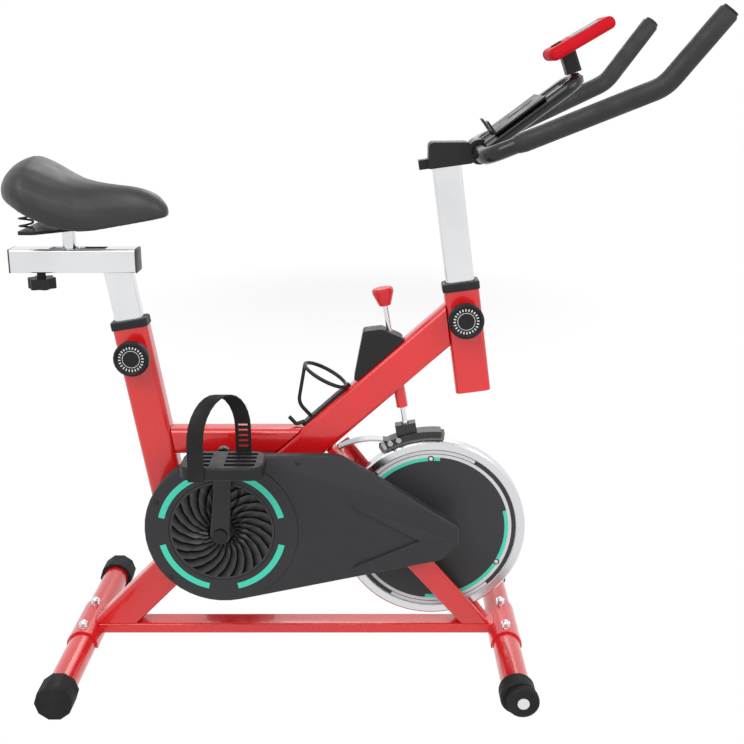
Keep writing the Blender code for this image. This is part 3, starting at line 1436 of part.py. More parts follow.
drive_seat = DRIVE_PULLEY_RADIUS + TURN_GAP
small_seat = SMALL_PULLEY_RADIUS + TURN_GAP
drive_point = (BRACKET_X, BRACKET_Z)
small_point = (FLYWHEEL_X, FLYWHEEL_Z)
belt_inner = circles_hull(drive_point, drive_seat, small_point, small_seat, BELT_STEP)
belt_outer = circles_hull(drive_point, drive_seat + BELT_THICKNESS, small_point, small_seat + BELT_THICKNESS,
                          BELT_STEP)
belt_half = BELT_WIDTH / 2 - TURN_GAP
belt_rings = [
    [Vector((x, y, z)) for x, z in outline]
    for outline, y in (
        (belt_inner, -belt_middle - belt_half),
        (belt_outer, -belt_middle - belt_half),
        (belt_outer, -belt_middle + belt_half),
        (belt_inner, -belt_middle + belt_half),
    )
]
lofted("drive_belt", belt_rings, RUBBER, ring_closed=True)

pedal_inner = crank_outer + PEDAL_GAP
pedal_outer = pedal_inner + PEDAL_WIDTH
spindle_end = pedal_outer - SPINDLE_SHORT
crank_reach = Vector((math.sin(CRANK_LEAN), 0, math.cos(CRANK_LEAN))) * CRANK_LENGTH


def crank_arm(sign):
    """Tapered arm on the axle with the pedal spindle in its tip; the right one points up."""
    tip = bottom_bracket_centre - crank_reach * sign
    root = (BRACKET_X, BRACKET_Z)
    layers = (
        (crank_inner, CRANK_EDGE),
        (crank_inner + CRANK_EDGE, 0),
        (crank_outer - CRANK_EDGE, 0),
        (crank_outer, CRANK_EDGE),
    )
    rings = []
    for y, shrink in layers:
        ring = circles_hull(root, CRANK_ROOT_RADIUS - shrink, (tip.x, tip.z), CRANK_TIP_RADIUS - shrink)
        rings.append([Vector((x, sign * y, z)) for x, z in ring])
    arm = lofted(mirrored_name("crank_arm", sign), rings, BLACK, bottom_bracket_centre)
    spindle_start = tip + Y_AXIS * sign * (crank_outer - CRANK_THICKNESS / 2)
    spindle_tip = tip + Y_AXIS * sign * spindle_end
    spindle = round_rod(mirrored_name("pedal_spindle", sign), spindle_start, spindle_tip,
                        SPINDLE_RADIUS, None, SMALL_STEPS, True)
    drill_end = bottom_bracket_centre + Y_AXIS * sign * 2 * crank_outer
    drill = round_rod(mirrored_name("crank_drill", sign), bottom_bracket_centre, drill_end,
                      CRANK_AXLE_RADIUS + WELD_GAP, None, ROUND_STEPS, True)
    fuse(arm, spindle)
    cut(arm, drill)
    return tip


def pedal(sign, tip):
    """Platform pedal with open tread slots on either side of its spindle tube."""
    middle = tip + Vector((PEDAL_FORWARD, sign * (pedal_inner + PEDAL_WIDTH / 2), 0))
    where = Matrix.Translation(middle)
    rings = []
    half_height = PEDAL_HEIGHT / 2
    layers = (
        (-half_height, PEDAL_EDGE),
        (PEDAL_EDGE - half_height, 0),
        (half_height - PEDAL_EDGE, 0),
        (half_height, PEDAL_EDGE),
    )
    for height, inset in layers:
        outline = rounded_rect(PEDAL_LENGTH - 2 * inset, PEDAL_WIDTH - 2 * inset, PEDAL_CORNER - inset, 4)
        rings.append([where @ Vector((x, y, height)) for x, y in outline])
    body = lofted(mirrored_name("pedal", sign), rings, BLACK, tip + Y_AXIS * sign * pedal_inner)
    spindle_wall = SPINDLE_RADIUS + PEDAL_WALL
    slot_end = PEDAL_LENGTH / 2 - PEDAL_END
    slot_rows = (
        (-slot_end, -PEDAL_FORWARD - spindle_wall),
        (spindle_wall - PEDAL_FORWARD, slot_end),
    )
    pitch = (PEDAL_WIDTH - 2 * PEDAL_RAIL) / PEDAL_SLOTS
    for row, (low, high) in enumerate(slot_rows):
        for i in range(PEDAL_SLOTS):
            y = -PEDAL_WIDTH / 2 + PEDAL_RAIL + pitch * (i + 0.5)
            label = f"{mirrored_name('pedal_slot', sign)}_{row}_{i}"
            near = (low, y - SLOT_WIDTH / 2, -PEDAL_HEIGHT)
            far = (high, y + SLOT_WIDTH / 2, PEDAL_HEIGHT)
            tool = box(label, near, far, where)
            cut(body, tool)
    bore = round_rod(mirrored_name("pedal_bore", sign), tip, tip + Y_AXIS * sign * (spindle_end + TURN_GAP),
                     SPINDLE_RADIUS + TURN_GAP, None, SMALL_STEPS, True)
    cut(body, bore)


def toe_strap(sign, tip):
    """Arched band over the foot, from the pedal's outer rear to its inner front, with adjusting slots."""
    middle = Vector((tip.x, 0, tip.z))
    outer_y = pedal_outer + WELD_GAP + TOE_BAND_PLATE / 2
    inner_y = pedal_inner - WELD_GAP - TOE_BAND_PLATE / 2
    rear_foot = middle + Vector((TOE_BAND_REAR, sign * outer_y, 0))
    front_foot = middle + Vector((TOE_BAND_FRONT, sign * inner_y, 0))
    across = front_foot - rear_foot
    shoulder = TOE_BAND_RISE * TOE_BAND_STRAIGHT
    profile = [(0, -PEDAL_HEIGHT / 2), (0, shoulder)]
    for i in range(1, TOE_BAND_STEPS):
        angle = math.pi * (1 - i / TOE_BAND_STEPS)
        profile.append((0.5 + 0.5 * math.cos(angle), shoulder + (TOE_BAND_RISE - shoulder) * math.sin(angle)))
    profile += [(1, shoulder), (1, -PEDAL_HEIGHT / 2)]
    route = [rear_foot + across * share + Z_AXIS * height for share, height in profile]
    wide = x_axis
    rings = []
    for i, point in enumerate(route):
        before = route[max(i - 1, 0)]
        after = route[min(i + 1, len(route) - 1)]
        tangent = (after - before).normalized()
        normal = wide.cross(tangent).normalized()
        half_wide = wide * TOE_BAND_WIDTH / 2
        half_thick = normal * TOE_BAND_PLATE / 2
        rings.append([point - half_wide - half_thick, point + half_wide - half_thick,
                      point + half_wide + half_thick, point - half_wide + half_thick])
    strap = lofted(mirrored_name("toe_strap", sign), rings, RUBBER, tip + Y_AXIS * sign * pedal_inner)
    slot_size = Vector((TOE_BAND_WIDTH * TOE_SLOT_SHARE, 2 * TOE_SLOT_PITCH, TOE_SLOT_HEIGHT))
    for i in range(TOE_BAND_SLOTS):
        level = front_foot + Z_AXIS * (PEDAL_HEIGHT / 2 + TOE_SLOT_PITCH * (i + 1))
        label = f"{mirrored_name('strap_slot', sign)}_{i}"
        tool = box(label, -slot_size / 2, slot_size / 2, Matrix.Translation(level))
        cut(strap, tool)


for sign in (-1, 1):
    crank_tip = crank_arm(sign)
    pedal(sign, crank_tip)
    toe_strap(sign, crank_tip)


# Belt guard: an outer moulding, a back plate and the turbine disc in its round opening

sole_at_bracket = BRACKET_Z - GUARD_RADIUS / math.cos(GUARD_SOLE_SLOPE)


def sole_z(x):
    return sole_at_bracket + (x - BRACKET_X) * math.tan(GUARD_SOLE_SLOPE)


guard_left = BRACKET_X - GUARD_RADIUS
guard_corners = (
    (guard_left, sole_z(guard_left)),
    (GUARD_CHIN_X, sole_z(GUARD_CHIN_X)),
    (GUARD_NOSE_X, GUARD_NOSE_LOW_Z),
    (GUARD_NOSE_X, GUARD_NOSE_TOP_Z),
    (GUARD_SHOULDER_X, BRACKET_Z + GUARD_RADIUS),
    (guard_left, BRACKET_Z + GUARD_RADIUS),
)
guard_fillets = (
    GUARD_RADIUS,
    GUARD_CHIN_FILLET,
    GUARD_NOSE_FILLET,
    GUARD_NOSE_FILLET,
    GUARD_SHOULDER_FILLET,
    GUARD_RADIUS,
)


def guard_ring(y, inset):
    return [Vector((x, -y, z)) for x, z in rounded_outline(guard_corners, guard_fillets, inset, GUARD_STEP)]


guard = lofted("guard_outer", [
    guard_ring(guard_back, 0),
    guard_ring(guard_face - GUARD_EDGE, 0),
    guard_ring(guard_face - GUARD_EDGE * 0.3, GUARD_EDGE * 0.3),
    guard_ring(guard_face, GUARD_EDGE),
], CHARCOAL)
guard_hollow = lofted("guard_hollow", [
    guard_ring(guard_back - GUARD_EDGE, GUARD_WALL),
    guard_ring(guard_face - GUARD_WALL, GUARD_WALL),
], None, None, True)
opening = VANE_DISC_RADIUS + WELD_GAP
outside_guard = bottom_bracket_centre - Y_AXIS * 2 * guard_face
guard_opening = round_rod("guard_opening", outside_guard, bottom_bracket_centre, opening,
                          None, OPENING_STEPS, True)
rib = side_prism("guard_rib", RIB_CORNERS, -guard_face - RIB_HEIGHT, -guard_face + GUARD_WALL / 2,
                 None, None, True)
cut(guard, guard_hollow, guard_opening)
fuse(guard, rib)

plate_inset = GUARD_WALL + WELD_GAP
back_plate = lofted("guard_inner", [
    guard_ring(guard_back + WELD_GAP, plate_inset),
    guard_ring(guard_back + BACK_PLATE, plate_inset),
], BLACK)
shell_window = round_rod("shell_window", outside_guard, bottom_bracket_centre, SHELL_RADIUS + GUARD_GAP,
                         None, ROUND_STEPS, True)
axle_window = round_rod("axle_window", axle_centre - Y_AXIS * 2 * guard_face, axle_centre,
                        AXLE_RADIUS + 2 * GUARD_GAP, None, 24, True)
cut(back_plate, shell_window, axle_window)

vane_rim = VANE_DISC_RADIUS - VANE_RIM
vane_back = guard_face - GUARD_WALL + WELD_GAP
vane_points = VANE_COUNT * VANE_SAMPLES


def vane_ring(radius, y_of):
    ring = []
    for i in range(vane_points):
        angle = 2 * math.pi * i / vane_points
        spoke = Vector((radius * math.cos(angle), -y_of(angle), radius * math.sin(angle)))
        ring.append(bottom_bracket_centre + spoke)
    return ring


def vane_face(radius):
    """Outer face of the disc at a radius: saw-tooth vanes swept round as they run out."""
    share = (radius - VANE_HUB_RADIUS) / (vane_rim - VANE_HUB_RADIUS)
    floor = vane_back + VANE_PLATE - VANE_DISH * 0.5 * (1 - share)

    def y_of(angle):
        phase = ((angle + VANE_SWEEP * share) * VANE_COUNT / (2 * math.pi)) % 1
        return floor + VANE_HEIGHT * phase

    return y_of


flat_back = vane_back - VANE_DISH
vane_rings = [vane_ring(VANE_HUB_RADIUS, lambda angle: flat_back)]
for k in range(VANE_RINGS + 1):
    radius = VANE_HUB_RADIUS + (vane_rim - VANE_HUB_RADIUS) * k / VANE_RINGS
    vane_rings.append(vane_ring(radius, vane_face(radius)))
lip = guard_face + VANE_LIP
vane_rings.append(vane_ring(vane_rim, lambda angle: lip))
vane_rings.append(vane_ring(VANE_DISC_RADIUS, lambda angle: lip))
vane_rings.append(vane_ring(VANE_DISC_RADIUS, lambda angle: flat_back))
lofted("guard_vanes", vane_rings, CHARCOAL, ring_closed=True)


# Brake: a rod with a tension knob presses a felt pad on a leaf arm against the rim

rod_where = place(rod_top - rod_up * rod_length, rod_up, x_axis)
rod_profile = (
    (0, rod_length),
    (ROD_RADIUS, rod_length),
    (ROD_RADIUS, ROD_FOOT),
    (ROD_FOOT_RADIUS, ROD_FOOT),
    (ROD_FOOT_RADIUS, 0),
    (0, 0),
)
turned("brake_rod", rod_profile, rod_where, CHROME, SMALL_STEPS)
knob_low = rod_length - TENSION_KNOB_GRIP
knob_bore = ROD_RADIUS + WELD_GAP
tension_profile = (
    (0, knob_low + TENSION_KNOB_HEIGHT),
    (KNOB_TOP_RADIUS - CAP_RIM, knob_low + TENSION_KNOB_HEIGHT),
    (KNOB_TOP_RADIUS, knob_low + TENSION_KNOB_HEIGHT - CAP_RIM),
    (KNOB_TOP_RADIUS, knob_low + TENSION_KNOB_HEIGHT * TENSION_KNOB_FLARE),
    (KNOB_FOOT_RADIUS, knob_low),
    (knob_bore, knob_low),
    (knob_bore, rod_length + WELD_GAP),
    (0, rod_length + WELD_GAP),
)
turned("tension_knob", tension_profile, rod_where, RED, 24)


def on_main_tube(along, above):
    point = bottom_bracket_centre + main_axis * along + main_up * (tube_face + above)
    return (point.x, point.z)


rod_along = (rod_in_tube - bottom_bracket_centre).dot(main_axis)
wedge_corners = [on_main_tube(rod_along + along, above) for along, above in WEDGE_CORNERS]
wedge_outline = rounded_outline(wedge_corners, WEDGE_FILLETS)
wedge = side_prism("brake_housing", wedge_outline, -HOUSING_HALF, HOUSING_HALF, BLACK)
housing_drill = round_rod("housing_drill", rod_top - rod_up * rod_length, rod_top + rod_up * rod_length,
                          rod_bore, None, SMALL_STEPS, True)
cut(wedge, housing_drill)

wheel_point = (FLYWHEEL_X, FLYWHEEL_Z)
pad_low = FLYWHEEL_RADIUS + PAD_GAP
pad_high = pad_low + PAD_DEPTH
holder_high = holder_low + ARM_PLATE
pad_half = ARM_WIDTH / 2 - ARM_PLATE - WELD_GAP
pad_outline = arc_points(wheel_point, pad_low, PAD_START, PAD_END, PAD_STEPS)
pad_outline += arc_points(wheel_point, pad_high, PAD_END, PAD_START, PAD_STEPS)
side_prism("brake_pad", pad_outline, -pad_half, pad_half, FELT)

holder_start = PAD_START - HOLDER_INSET
holder_end = PAD_END + HOLDER_INSET
holder_outline = arc_points(wheel_point, holder_low, holder_start, holder_end, PAD_STEPS)
holder_outline += arc_points(wheel_point, holder_high, holder_end, holder_start, PAD_STEPS)
arm_half = ARM_WIDTH / 2
brake_arm = side_prism("brake_arm", holder_outline, -arm_half, arm_half, STEEL)
lip_outline = arc_points(wheel_point, pad_high - HOLDER_LIP, holder_start, holder_end, PAD_STEPS)
lip_outline += arc_points(wheel_point, holder_high - ARM_PLATE / 2, holder_end, holder_start, PAD_STEPS)
for sign in (-1, 1):
    low = -arm_half if sign < 0 else arm_half - ARM_PLATE
    holder_side = side_prism(mirrored_name("holder_lip", sign), lip_outline, low, low + ARM_PLATE,
                             None, None, True)
    fuse(brake_arm, holder_side)

stay_front = bridge_centre + main_axis * (STAY_DEPTH / 2)
leaf_root = stay_front + main_up * (stay_planes[1][0] - bridge_centre).dot(main_up) * LEAF_LEVEL
arm_pivot = leaf_root + main_axis * (2 * TURN_GAP + ARM_PLATE)
rod_foot = rod_top - rod_up * rod_length
clip_top = rod_foot - rod_up * WELD_GAP
leaf_join_angle = PAD_START - LEAF_LAP
leaf_join = side(FLYWHEEL_X + (holder_high - ARM_PLATE / 2) * math.cos(leaf_join_angle),
                 FLYWHEEL_Z + (holder_high - ARM_PLATE / 2) * math.sin(leaf_join_angle))
leaf_route = []
for i in range(LEAF_STEPS + 1):
    share = i / LEAF_STEPS
    leaf_route.append(arm_pivot.lerp(leaf_join, share) + Z_AXIS * LEAF_BOW * 4 * share * (1 - share))
leaf_rings = []
for i, point in enumerate(leaf_route):
    ahead = leaf_route[min(i + 1, len(leaf_route) - 1)]
    behind = leaf_route[max(i - 1, 0)]
    normal = Y_AXIS.cross((ahead - behind).normalized())
    leaf_rings.append([
        point + Y_AXIS * v * (arm_half - ARM_PLATE) + normal * w * ARM_PLATE / 2
        for v, w in ((-1, -1), (1, -1), (1, 1), (-1, 1))
    ])
leaf = lofted("brake_leaf", leaf_rings, None, None, True)
clip_where = place(clip_top, rod_up, x_axis)
clip_foot = (clip_top - axle_centre).length - holder_low - ARM_PLATE * CLIP_SINK
clip_half = arm_half * CLIP_SHARE
clip_low = (-CLIP_HALF_LENGTH, -clip_half, -clip_foot)
clip_high = (CLIP_HALF_LENGTH, clip_half, 0)
clip = box("brake_clip", clip_low, clip_high, clip_where)
fuse(brake_arm, leaf, clip)
for i, angle in enumerate(HOLDER_BOLT_ANGLES):
    radius = pad_high - HOLDER_LIP / 2 + ARM_PLATE
    head = side(FLYWHEEL_X + radius * math.cos(angle), FLYWHEEL_Z + radius * math.sin(angle), -arm_half)
    bolt = round_rod(f"holder_bolt_{i}", head + Y_AXIS * ARM_PLATE / 2, head - Y_AXIS * BOLT_HEAD,
                     HOLDER_BOLT_RADIUS, None, SMALL_STEPS, True)
    fuse(brake_arm, bolt)


# Bottle cage on the main tube

cage_foot = bottom_bracket_centre + main_axis * CAGE_START + main_up * (tube_face + WELD_GAP)
cage_where = place(cage_foot, main_up, main_axis)
cage_corner = CAGE_WIDTH / 2 - CAGE_WIRE / 3
half_cage = CAGE_WIDTH / 2
cage_corners = ((0, -half_cage), (CAGE_LENGTH, -half_cage), (CAGE_LENGTH, half_cage), (0, half_cage))
cage = prism("bottle_cage", rounded_outline(cage_corners, (cage_corner,) * 4, 0, math.radians(30)), 0,
             CAGE_PLATE, cage_where, BLACK)
ring_up = (main_up * math.cos(CAGE_TILT) - main_axis * math.sin(CAGE_TILT)).normalized()
ring_base = cage_foot + main_axis * (CAGE_LENGTH - 2 * CAGE_WIRE) + main_up * CAGE_WIRE
ring_centre = ring_base + ring_up * CAGE_RING_RADIUS
ring_route = [
    ring_centre + Y_AXIS * CAGE_RING_RADIUS * math.sin(a) - ring_up * CAGE_RING_RADIUS * math.cos(a)
    for a in (2 * math.pi * i / ROUND_STEPS for i in range(ROUND_STEPS))
]
cage_ring = bent_tube("cage_ring", ring_route, CAGE_WIRE, None, 1, closed=True, hidden=True)
ring_crest = ring_centre + ring_up * CAGE_RING_RADIUS
strut_foot = cage_foot + main_axis * CAGE_LENGTH * STRUT_FOOT + main_up * CAGE_WIRE
strut_corner = strut_foot + main_up * CAGE_RING_RADIUS * STRUT_RISE
strut_route = filleted_route((ring_crest, strut_corner, strut_foot), (STRUT_BEND,))
cage_strut = bent_tube("cage_strut", strut_route, CAGE_WIRE, None, 1, hidden=True)
hook_root = cage_foot + main_axis * (2 * CAGE_WIRE) + main_up * CAGE_WIRE
hook_out = hook_root - main_axis * HOOK_REACH + main_up * HOOK_LIFT
hook_route = filleted_route((hook_root, hook_out, hook_out + main_up * HOOK_RISE), (HOOK_BEND,))
cage_hook = bent_tube("cage_hook", hook_route, CAGE_WIRE, None, 1, hidden=True)
fuse(cage, cage_ring, cage_strut, cage_hook)


# Centre the bike over the origin and print the joint places

bpy.context.view_layer.update()
shown = bpy.context.evaluated_depsgraph_get()
corners = []
for thing in parts.objects:
    solid = thing.evaluated_get(shown)
    corners += [solid.matrix_world @ Vector(corner) for corner in solid.bound_box]
low_x = min(corner.x for corner in corners)
high_x = max(corner.x for corner in corners)
low_y = min(corner.y for corner in corners)
high_y = max(corner.y for corner in corners)
shift = Vector((-(low_x + high_x) / 2, -(low_y + high_y) / 2, 0))
for thing in list(parts.objects) + list(cutters.objects):
    thing.location += shift

joint_places = {
    "rear_cap": side(REAR_FOOT_X, foot_axis_z),
    "transport_wheel": side(wheel_axis_x, foot_axis_z),
    "crank": bottom_bracket_centre,
    "flywheel": axle_centre,
    "pedal_right": bottom_bracket_centre + crank_reach,
    "pedal_left": bottom_bracket_centre - crank_reach,
    "seat_pin": seat_top - seat_up * PIN_BELOW_TOP,
    "head_pin": head_top - head_up * PIN_BELOW_TOP,
    "slider_knob": side(SCREW_X, star_top),
    "brake_rod": rod_top,
    "brake_arm": arm_pivot,
    "console_button": button_where.translation,
}
for name, point in joint_places.items():
    at = point + shift
    print(f"{name}: {at.x:.5f} {at.y:.5f} {at.z:.5f}")
joint_axes = {"seat_up": seat_up, "head_up": head_up, "rod_up": rod_up, "console_up": console_up}
for name, axis in joint_axes.items():
    print(f"{name}: {axis.x:.5f} {axis.y:.5f} {axis.z:.5f}")
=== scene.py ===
# %% [markdown]
# # Indoor spin bike
# The bike's solids come ready made and stay where they are. This lesson gives each of them a finish, adds
# the soft and small pieces that the solids leave out, and then lights the bike in a plain studio.

# %% Load the solids
import json
import math

import bpy
from mathutils import Matrix, Vector

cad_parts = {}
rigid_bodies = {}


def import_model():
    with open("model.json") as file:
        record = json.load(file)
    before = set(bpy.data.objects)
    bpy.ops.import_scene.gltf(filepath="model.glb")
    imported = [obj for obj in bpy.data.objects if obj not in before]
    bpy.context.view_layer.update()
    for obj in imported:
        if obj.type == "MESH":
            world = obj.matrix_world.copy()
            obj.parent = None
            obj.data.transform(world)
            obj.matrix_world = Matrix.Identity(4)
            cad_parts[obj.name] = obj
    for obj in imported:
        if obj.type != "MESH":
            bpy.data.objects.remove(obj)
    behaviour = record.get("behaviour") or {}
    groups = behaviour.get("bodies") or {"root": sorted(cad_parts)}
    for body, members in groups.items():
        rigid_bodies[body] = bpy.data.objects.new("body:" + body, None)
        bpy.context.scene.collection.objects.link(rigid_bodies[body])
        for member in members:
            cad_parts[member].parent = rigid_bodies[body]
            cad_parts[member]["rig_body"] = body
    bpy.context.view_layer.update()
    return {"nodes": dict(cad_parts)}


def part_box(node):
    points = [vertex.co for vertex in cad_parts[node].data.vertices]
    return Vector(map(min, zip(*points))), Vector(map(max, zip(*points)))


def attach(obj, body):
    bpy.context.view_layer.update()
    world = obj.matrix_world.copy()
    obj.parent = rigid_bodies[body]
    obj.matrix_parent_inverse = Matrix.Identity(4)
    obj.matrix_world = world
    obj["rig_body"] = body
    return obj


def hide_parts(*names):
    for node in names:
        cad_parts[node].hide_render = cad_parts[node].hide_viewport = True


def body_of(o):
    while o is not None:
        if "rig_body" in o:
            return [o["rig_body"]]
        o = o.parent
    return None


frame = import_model()
nodes = frame["nodes"]
bpy.context.scene.view_settings.view_transform = "Standard"

# %% [markdown]
# ## Hand tools
# An operator in Blender acts on whatever is selected, and the solids are all selected once they are loaded.
# So every step starts by choosing its object, its points or its face. These helpers do that. Two more apply
# a modifier at once and settle a new primitive, which keeps the later cells short.

# %% Hand tools
def deselect():
    bpy.ops.object.select_all(action="DESELECT")


def pick(thing):
    deselect()
    thing.select_set(True)
    bpy.context.view_layer.objects.active = thing


def apply(thing, kind, **values):
    pick(thing)
    added = thing.modifiers.new(kind.lower(), kind)
    for key, value in values.items():
        setattr(added, key, value)
    bpy.ops.object.modifier_apply(modifier=added.name)


def settle(name):
    """Names the primitive that was just added, and puts its place, turn and size in its mesh."""
    thing = bpy.context.object
    thing.name = name
    bpy.ops.object.transform_apply(location=True, rotation=True, scale=True)
    return thing


def clear_choice(piece, kind):
    """Clears the selection in a mesh, and sets the kind of thing that is selected next."""
    pick(piece)
    bpy.ops.object.mode_set(mode="EDIT")
    bpy.ops.mesh.select_mode(type=kind)
    bpy.ops.mesh.select_all(action="DESELECT")
    bpy.ops.object.mode_set(mode="OBJECT")


def select_points(piece, test):
    """Selects the points that pass a test, and leaves the mesh in edit mode."""
    clear_choice(piece, "VERT")
    for point in piece.data.vertices:
        point.select = test(point.co)
    bpy.ops.object.mode_set(mode="EDIT")


def face_towards(piece, heading):
    """Selects the one face that looks along a direction, and leaves the mesh in edit mode."""
    outer = max(piece.data.polygons, key=lambda face: face.normal.dot(Vector(heading)) * face.area).index
    clear_choice(piece, "FACE")
    piece.data.polygons[outer].select = True
    bpy.ops.object.mode_set(mode="EDIT")


print("selected after loading:", len(bpy.context.selected_objects))

# %% [markdown]
# ## Smoothing what is round
# Each solid arrives as loose flat triangles, so a tube or a knob shows its facets. A copy of it gets its
# doubled points merged, which joins the triangles into one surface, and is shaded smooth wherever two faces
# meet at less than a set angle. Subdividing would round it too, but it would also shrink the tubes, so only
# the shading changes. Normals weighted by area keep the flat sides flat. Thin bent wires have wide facets,
# so their angle is wider. Solids that nothing shows, those with flat sides only, and those remade below are
# left out.

# %% Merge and smooth the round solids
MERGE_DISTANCE = 0.00001


def merged(node, name):
    """A copy of a solid with its doubled points joined."""
    piece = bpy.data.objects.new(name, nodes[node].data.copy())
    bpy.context.scene.collection.objects.link(piece)
    pick(piece)
    bpy.ops.mesh.customdata_custom_splitnormals_clear()
    bpy.ops.object.mode_set(mode="EDIT")
    bpy.ops.mesh.select_all(action="SELECT")
    bpy.ops.mesh.remove_doubles(threshold=MERGE_DISTANCE)
    bpy.ops.object.mode_set(mode="OBJECT")
    return piece


def soften(piece, angle):
    """Smooth shading wherever two faces meet at less than an angle."""
    piece.data.shade_smooth()
    piece.data.set_sharp_from_angle(angle=angle)


def smooth_below(piece, angle):
    """The same, with the flat sides kept flat."""
    soften(piece, angle)
    apply(piece, "WEIGHTED_NORMAL", mode="FACE_AREA_WITH_ANGLE", keep_sharp=True)


TUBE_ANGLE = math.radians(34)
WIRE_ANGLE = math.radians(70)
WIRES = ("handlebar", "inner_bar", "bottle_cage", "saddle_spring_right", "saddle_spring_left")
LEFT_FLAT = ("saddle_pad", "console", "guard_outer", "drive_belt", "drive_pulley", "guard_inner",
             "bottom_bracket", "brake_pad", "seat_pin", "head_pin", "flywheel_axle", "console_bracket",
             "tablet_tray", "console_button")
shown = dict(nodes)
for name in sorted(set(nodes) - set(LEFT_FLAT)):
    piece = merged(name, name + "_smooth")
    smooth_below(piece, WIRE_ANGLE if name in WIRES else TUBE_ANGLE)
    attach(piece, body_of(nodes[name])[0])
    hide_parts(name)
    shown[name] = piece
print("smoothed:", len(nodes) - len(LEFT_FLAT))

# %% [markdown]
# ## Building a finish
# A finish is a small network of nodes that ends in one shader. Real paint, plastic and steel are never one
# even colour, so each finish starts from noise in the object's own coordinates: it shifts the colour a
# little, varies the gloss and raises a fine grain. A short helper keeps the arithmetic nodes readable.

# %% A helper for shader networks
class Network:
    """One material's nodes, with short names for the few that this lesson uses."""

    # A Mix node lists the sockets of every kind of data, and these are the ones for colours.
    MIX_SHARE, MIX_FIRST, MIX_SECOND, MIX_RESULT = 0, 6, 7, 2

    def __init__(self, name):
        self.material = bpy.data.materials.new(name)
        self.material.use_nodes = True
        self.tree = self.material.node_tree
        self.shader = self.tree.nodes["Principled BSDF"]
        self.place = self.node("ShaderNodeTexCoord").outputs["Object"]

    def node(self, kind, **values):
        made = self.tree.nodes.new(kind)
        for key, value in values.items():
            setattr(made, key, value)
        return made

    def feed(self, socket, value):
        if isinstance(value, bpy.types.NodeSocket):
            self.tree.links.new(value, socket)
        else:
            socket.default_value = value

    def math(self, operation, first, second=0.0):
        made = self.node("ShaderNodeMath", operation=operation)
        for socket, value in zip(made.inputs, (first, second)):
            self.feed(socket, value)
        return made.outputs[0]

    def noise(self, scale, detail=3.0):
        made = self.node("ShaderNodeTexNoise")
        made.inputs["Scale"].default_value = scale
        made.inputs["Detail"].default_value = detail
        self.feed(made.inputs["Vector"], self.place)
        return made.outputs["Fac"]

    def spread(self, value, low, high, start=0.3, stop=0.7):
        made = self.node("ShaderNodeMapRange")
        for socket, number in zip(made.inputs, (value, start, stop, low, high)):
            self.feed(socket, number)
        return made.outputs[0]

    def mix(self, share, first, second):
        made = self.node("ShaderNodeMix", data_type="RGBA")
        self.feed(made.inputs[self.MIX_SHARE], share)
        for index, colour in ((self.MIX_FIRST, first), (self.MIX_SECOND, second)):
            linked = isinstance(colour, bpy.types.NodeSocket)
            self.feed(made.inputs[index], colour if linked else (*colour, 1))
        return made.outputs[self.MIX_RESULT]

    def bump(self, height, strength, distance):
        made = self.node("ShaderNodeBump")
        made.inputs["Strength"].default_value = strength
        made.inputs["Distance"].default_value = distance
        self.feed(made.inputs["Height"], height)
        self.feed(self.shader.inputs["Normal"], made.outputs[0])

    def squares(self, first, second):
        return self.math("ADD", self.math("MULTIPLY", first, first), self.math("MULTIPLY", second, second))

    def axes_from(self, centre):
        """Separate X, Y and Z measured from a point."""
        moved = self.node("ShaderNodeVectorMath", operation="SUBTRACT")
        moved.inputs[1].default_value = centre
        self.feed(moved.inputs[0], self.place)
        split = self.node("ShaderNodeSeparateXYZ")
        self.feed(split.inputs[0], moved.outputs[0])
        return split.outputs

    def polar_from(self, centre):
        """Distance and angle round an axis along Y through a point."""
        x, _, z = self.axes_from(centre)
        return self.math("SQRT", self.squares(x, z)), self.math("ARCTAN2", z, x)

    def within(self, value, low, high):
        """1 between two limits and 0 outside them."""
        above = self.math("GREATER_THAN", value, low)
        return self.math("MULTIPLY", above, self.math("LESS_THAN", value, high))


print("shader helper ready")

# %% [markdown]
# Every finish below starts from the same base: a colour that drifts, a gloss that varies and mostly a fine
# grain. One function makes it, so each later cell holds only the numbers that set its material apart.

# %% The base finish
DRIFT_SCALE = 9.0
GLOSS_SCALE = 38.0
GLOSS_SPREAD = 0.2
GRAIN_DETAIL = 4.0
GRAIN_STRENGTH = 0.35
COAT_ROUGHNESS = 0.06


def surface(name, colour, roughness, grain=None, metallic=0.0, coat=0.0, shade=0.82, specular=0.5):
    """Base finish: slow colour drift, uneven gloss and a raised grain of one scale and depth, or none."""
    net = Network(name)
    deep = tuple(shade * c for c in colour)
    net.colour = net.mix(net.spread(net.noise(DRIFT_SCALE), 0, 1), deep, colour)
    least, most = roughness * (1 - GLOSS_SPREAD), roughness * (1 + GLOSS_SPREAD)
    net.rough = net.spread(net.noise(GLOSS_SCALE), least, most)
    net.feed(net.shader.inputs["Base Color"], net.colour)
    net.feed(net.shader.inputs["Roughness"], net.rough)
    net.shader.inputs["Metallic"].default_value = metallic
    net.shader.inputs["Coat Weight"].default_value = coat
    net.shader.inputs["Coat Roughness"].default_value = COAT_ROUGHNESS
    net.shader.inputs["Specular IOR Level"].default_value = specular
    if grain:
        scale, depth = grain
        net.bump(net.noise(scale, GRAIN_DETAIL), GRAIN_STRENGTH, depth)
    return net


def coat(net, *pieces):
    """Gives pieces this finish and no other."""
    for piece in pieces:
        piece.data.materials.clear()
        piece.data.materials.append(net.material)


def paint(net, *names):
    """Gives solids this finish, on their smooth copies where they have one."""
    coat(net, *(shown[name] for name in names))


print("base finish ready")

# %% [markdown]
# ## Red gloss paint
# The welded frame is powder coated in a strong red under a clear gloss. A smoother red alone would shine
# evenly all over. A coat layer on a duller red gives the sharp highlight along each tube instead, and a
# very shallow, wide noise gives the slight orange-peel of sprayed paint.

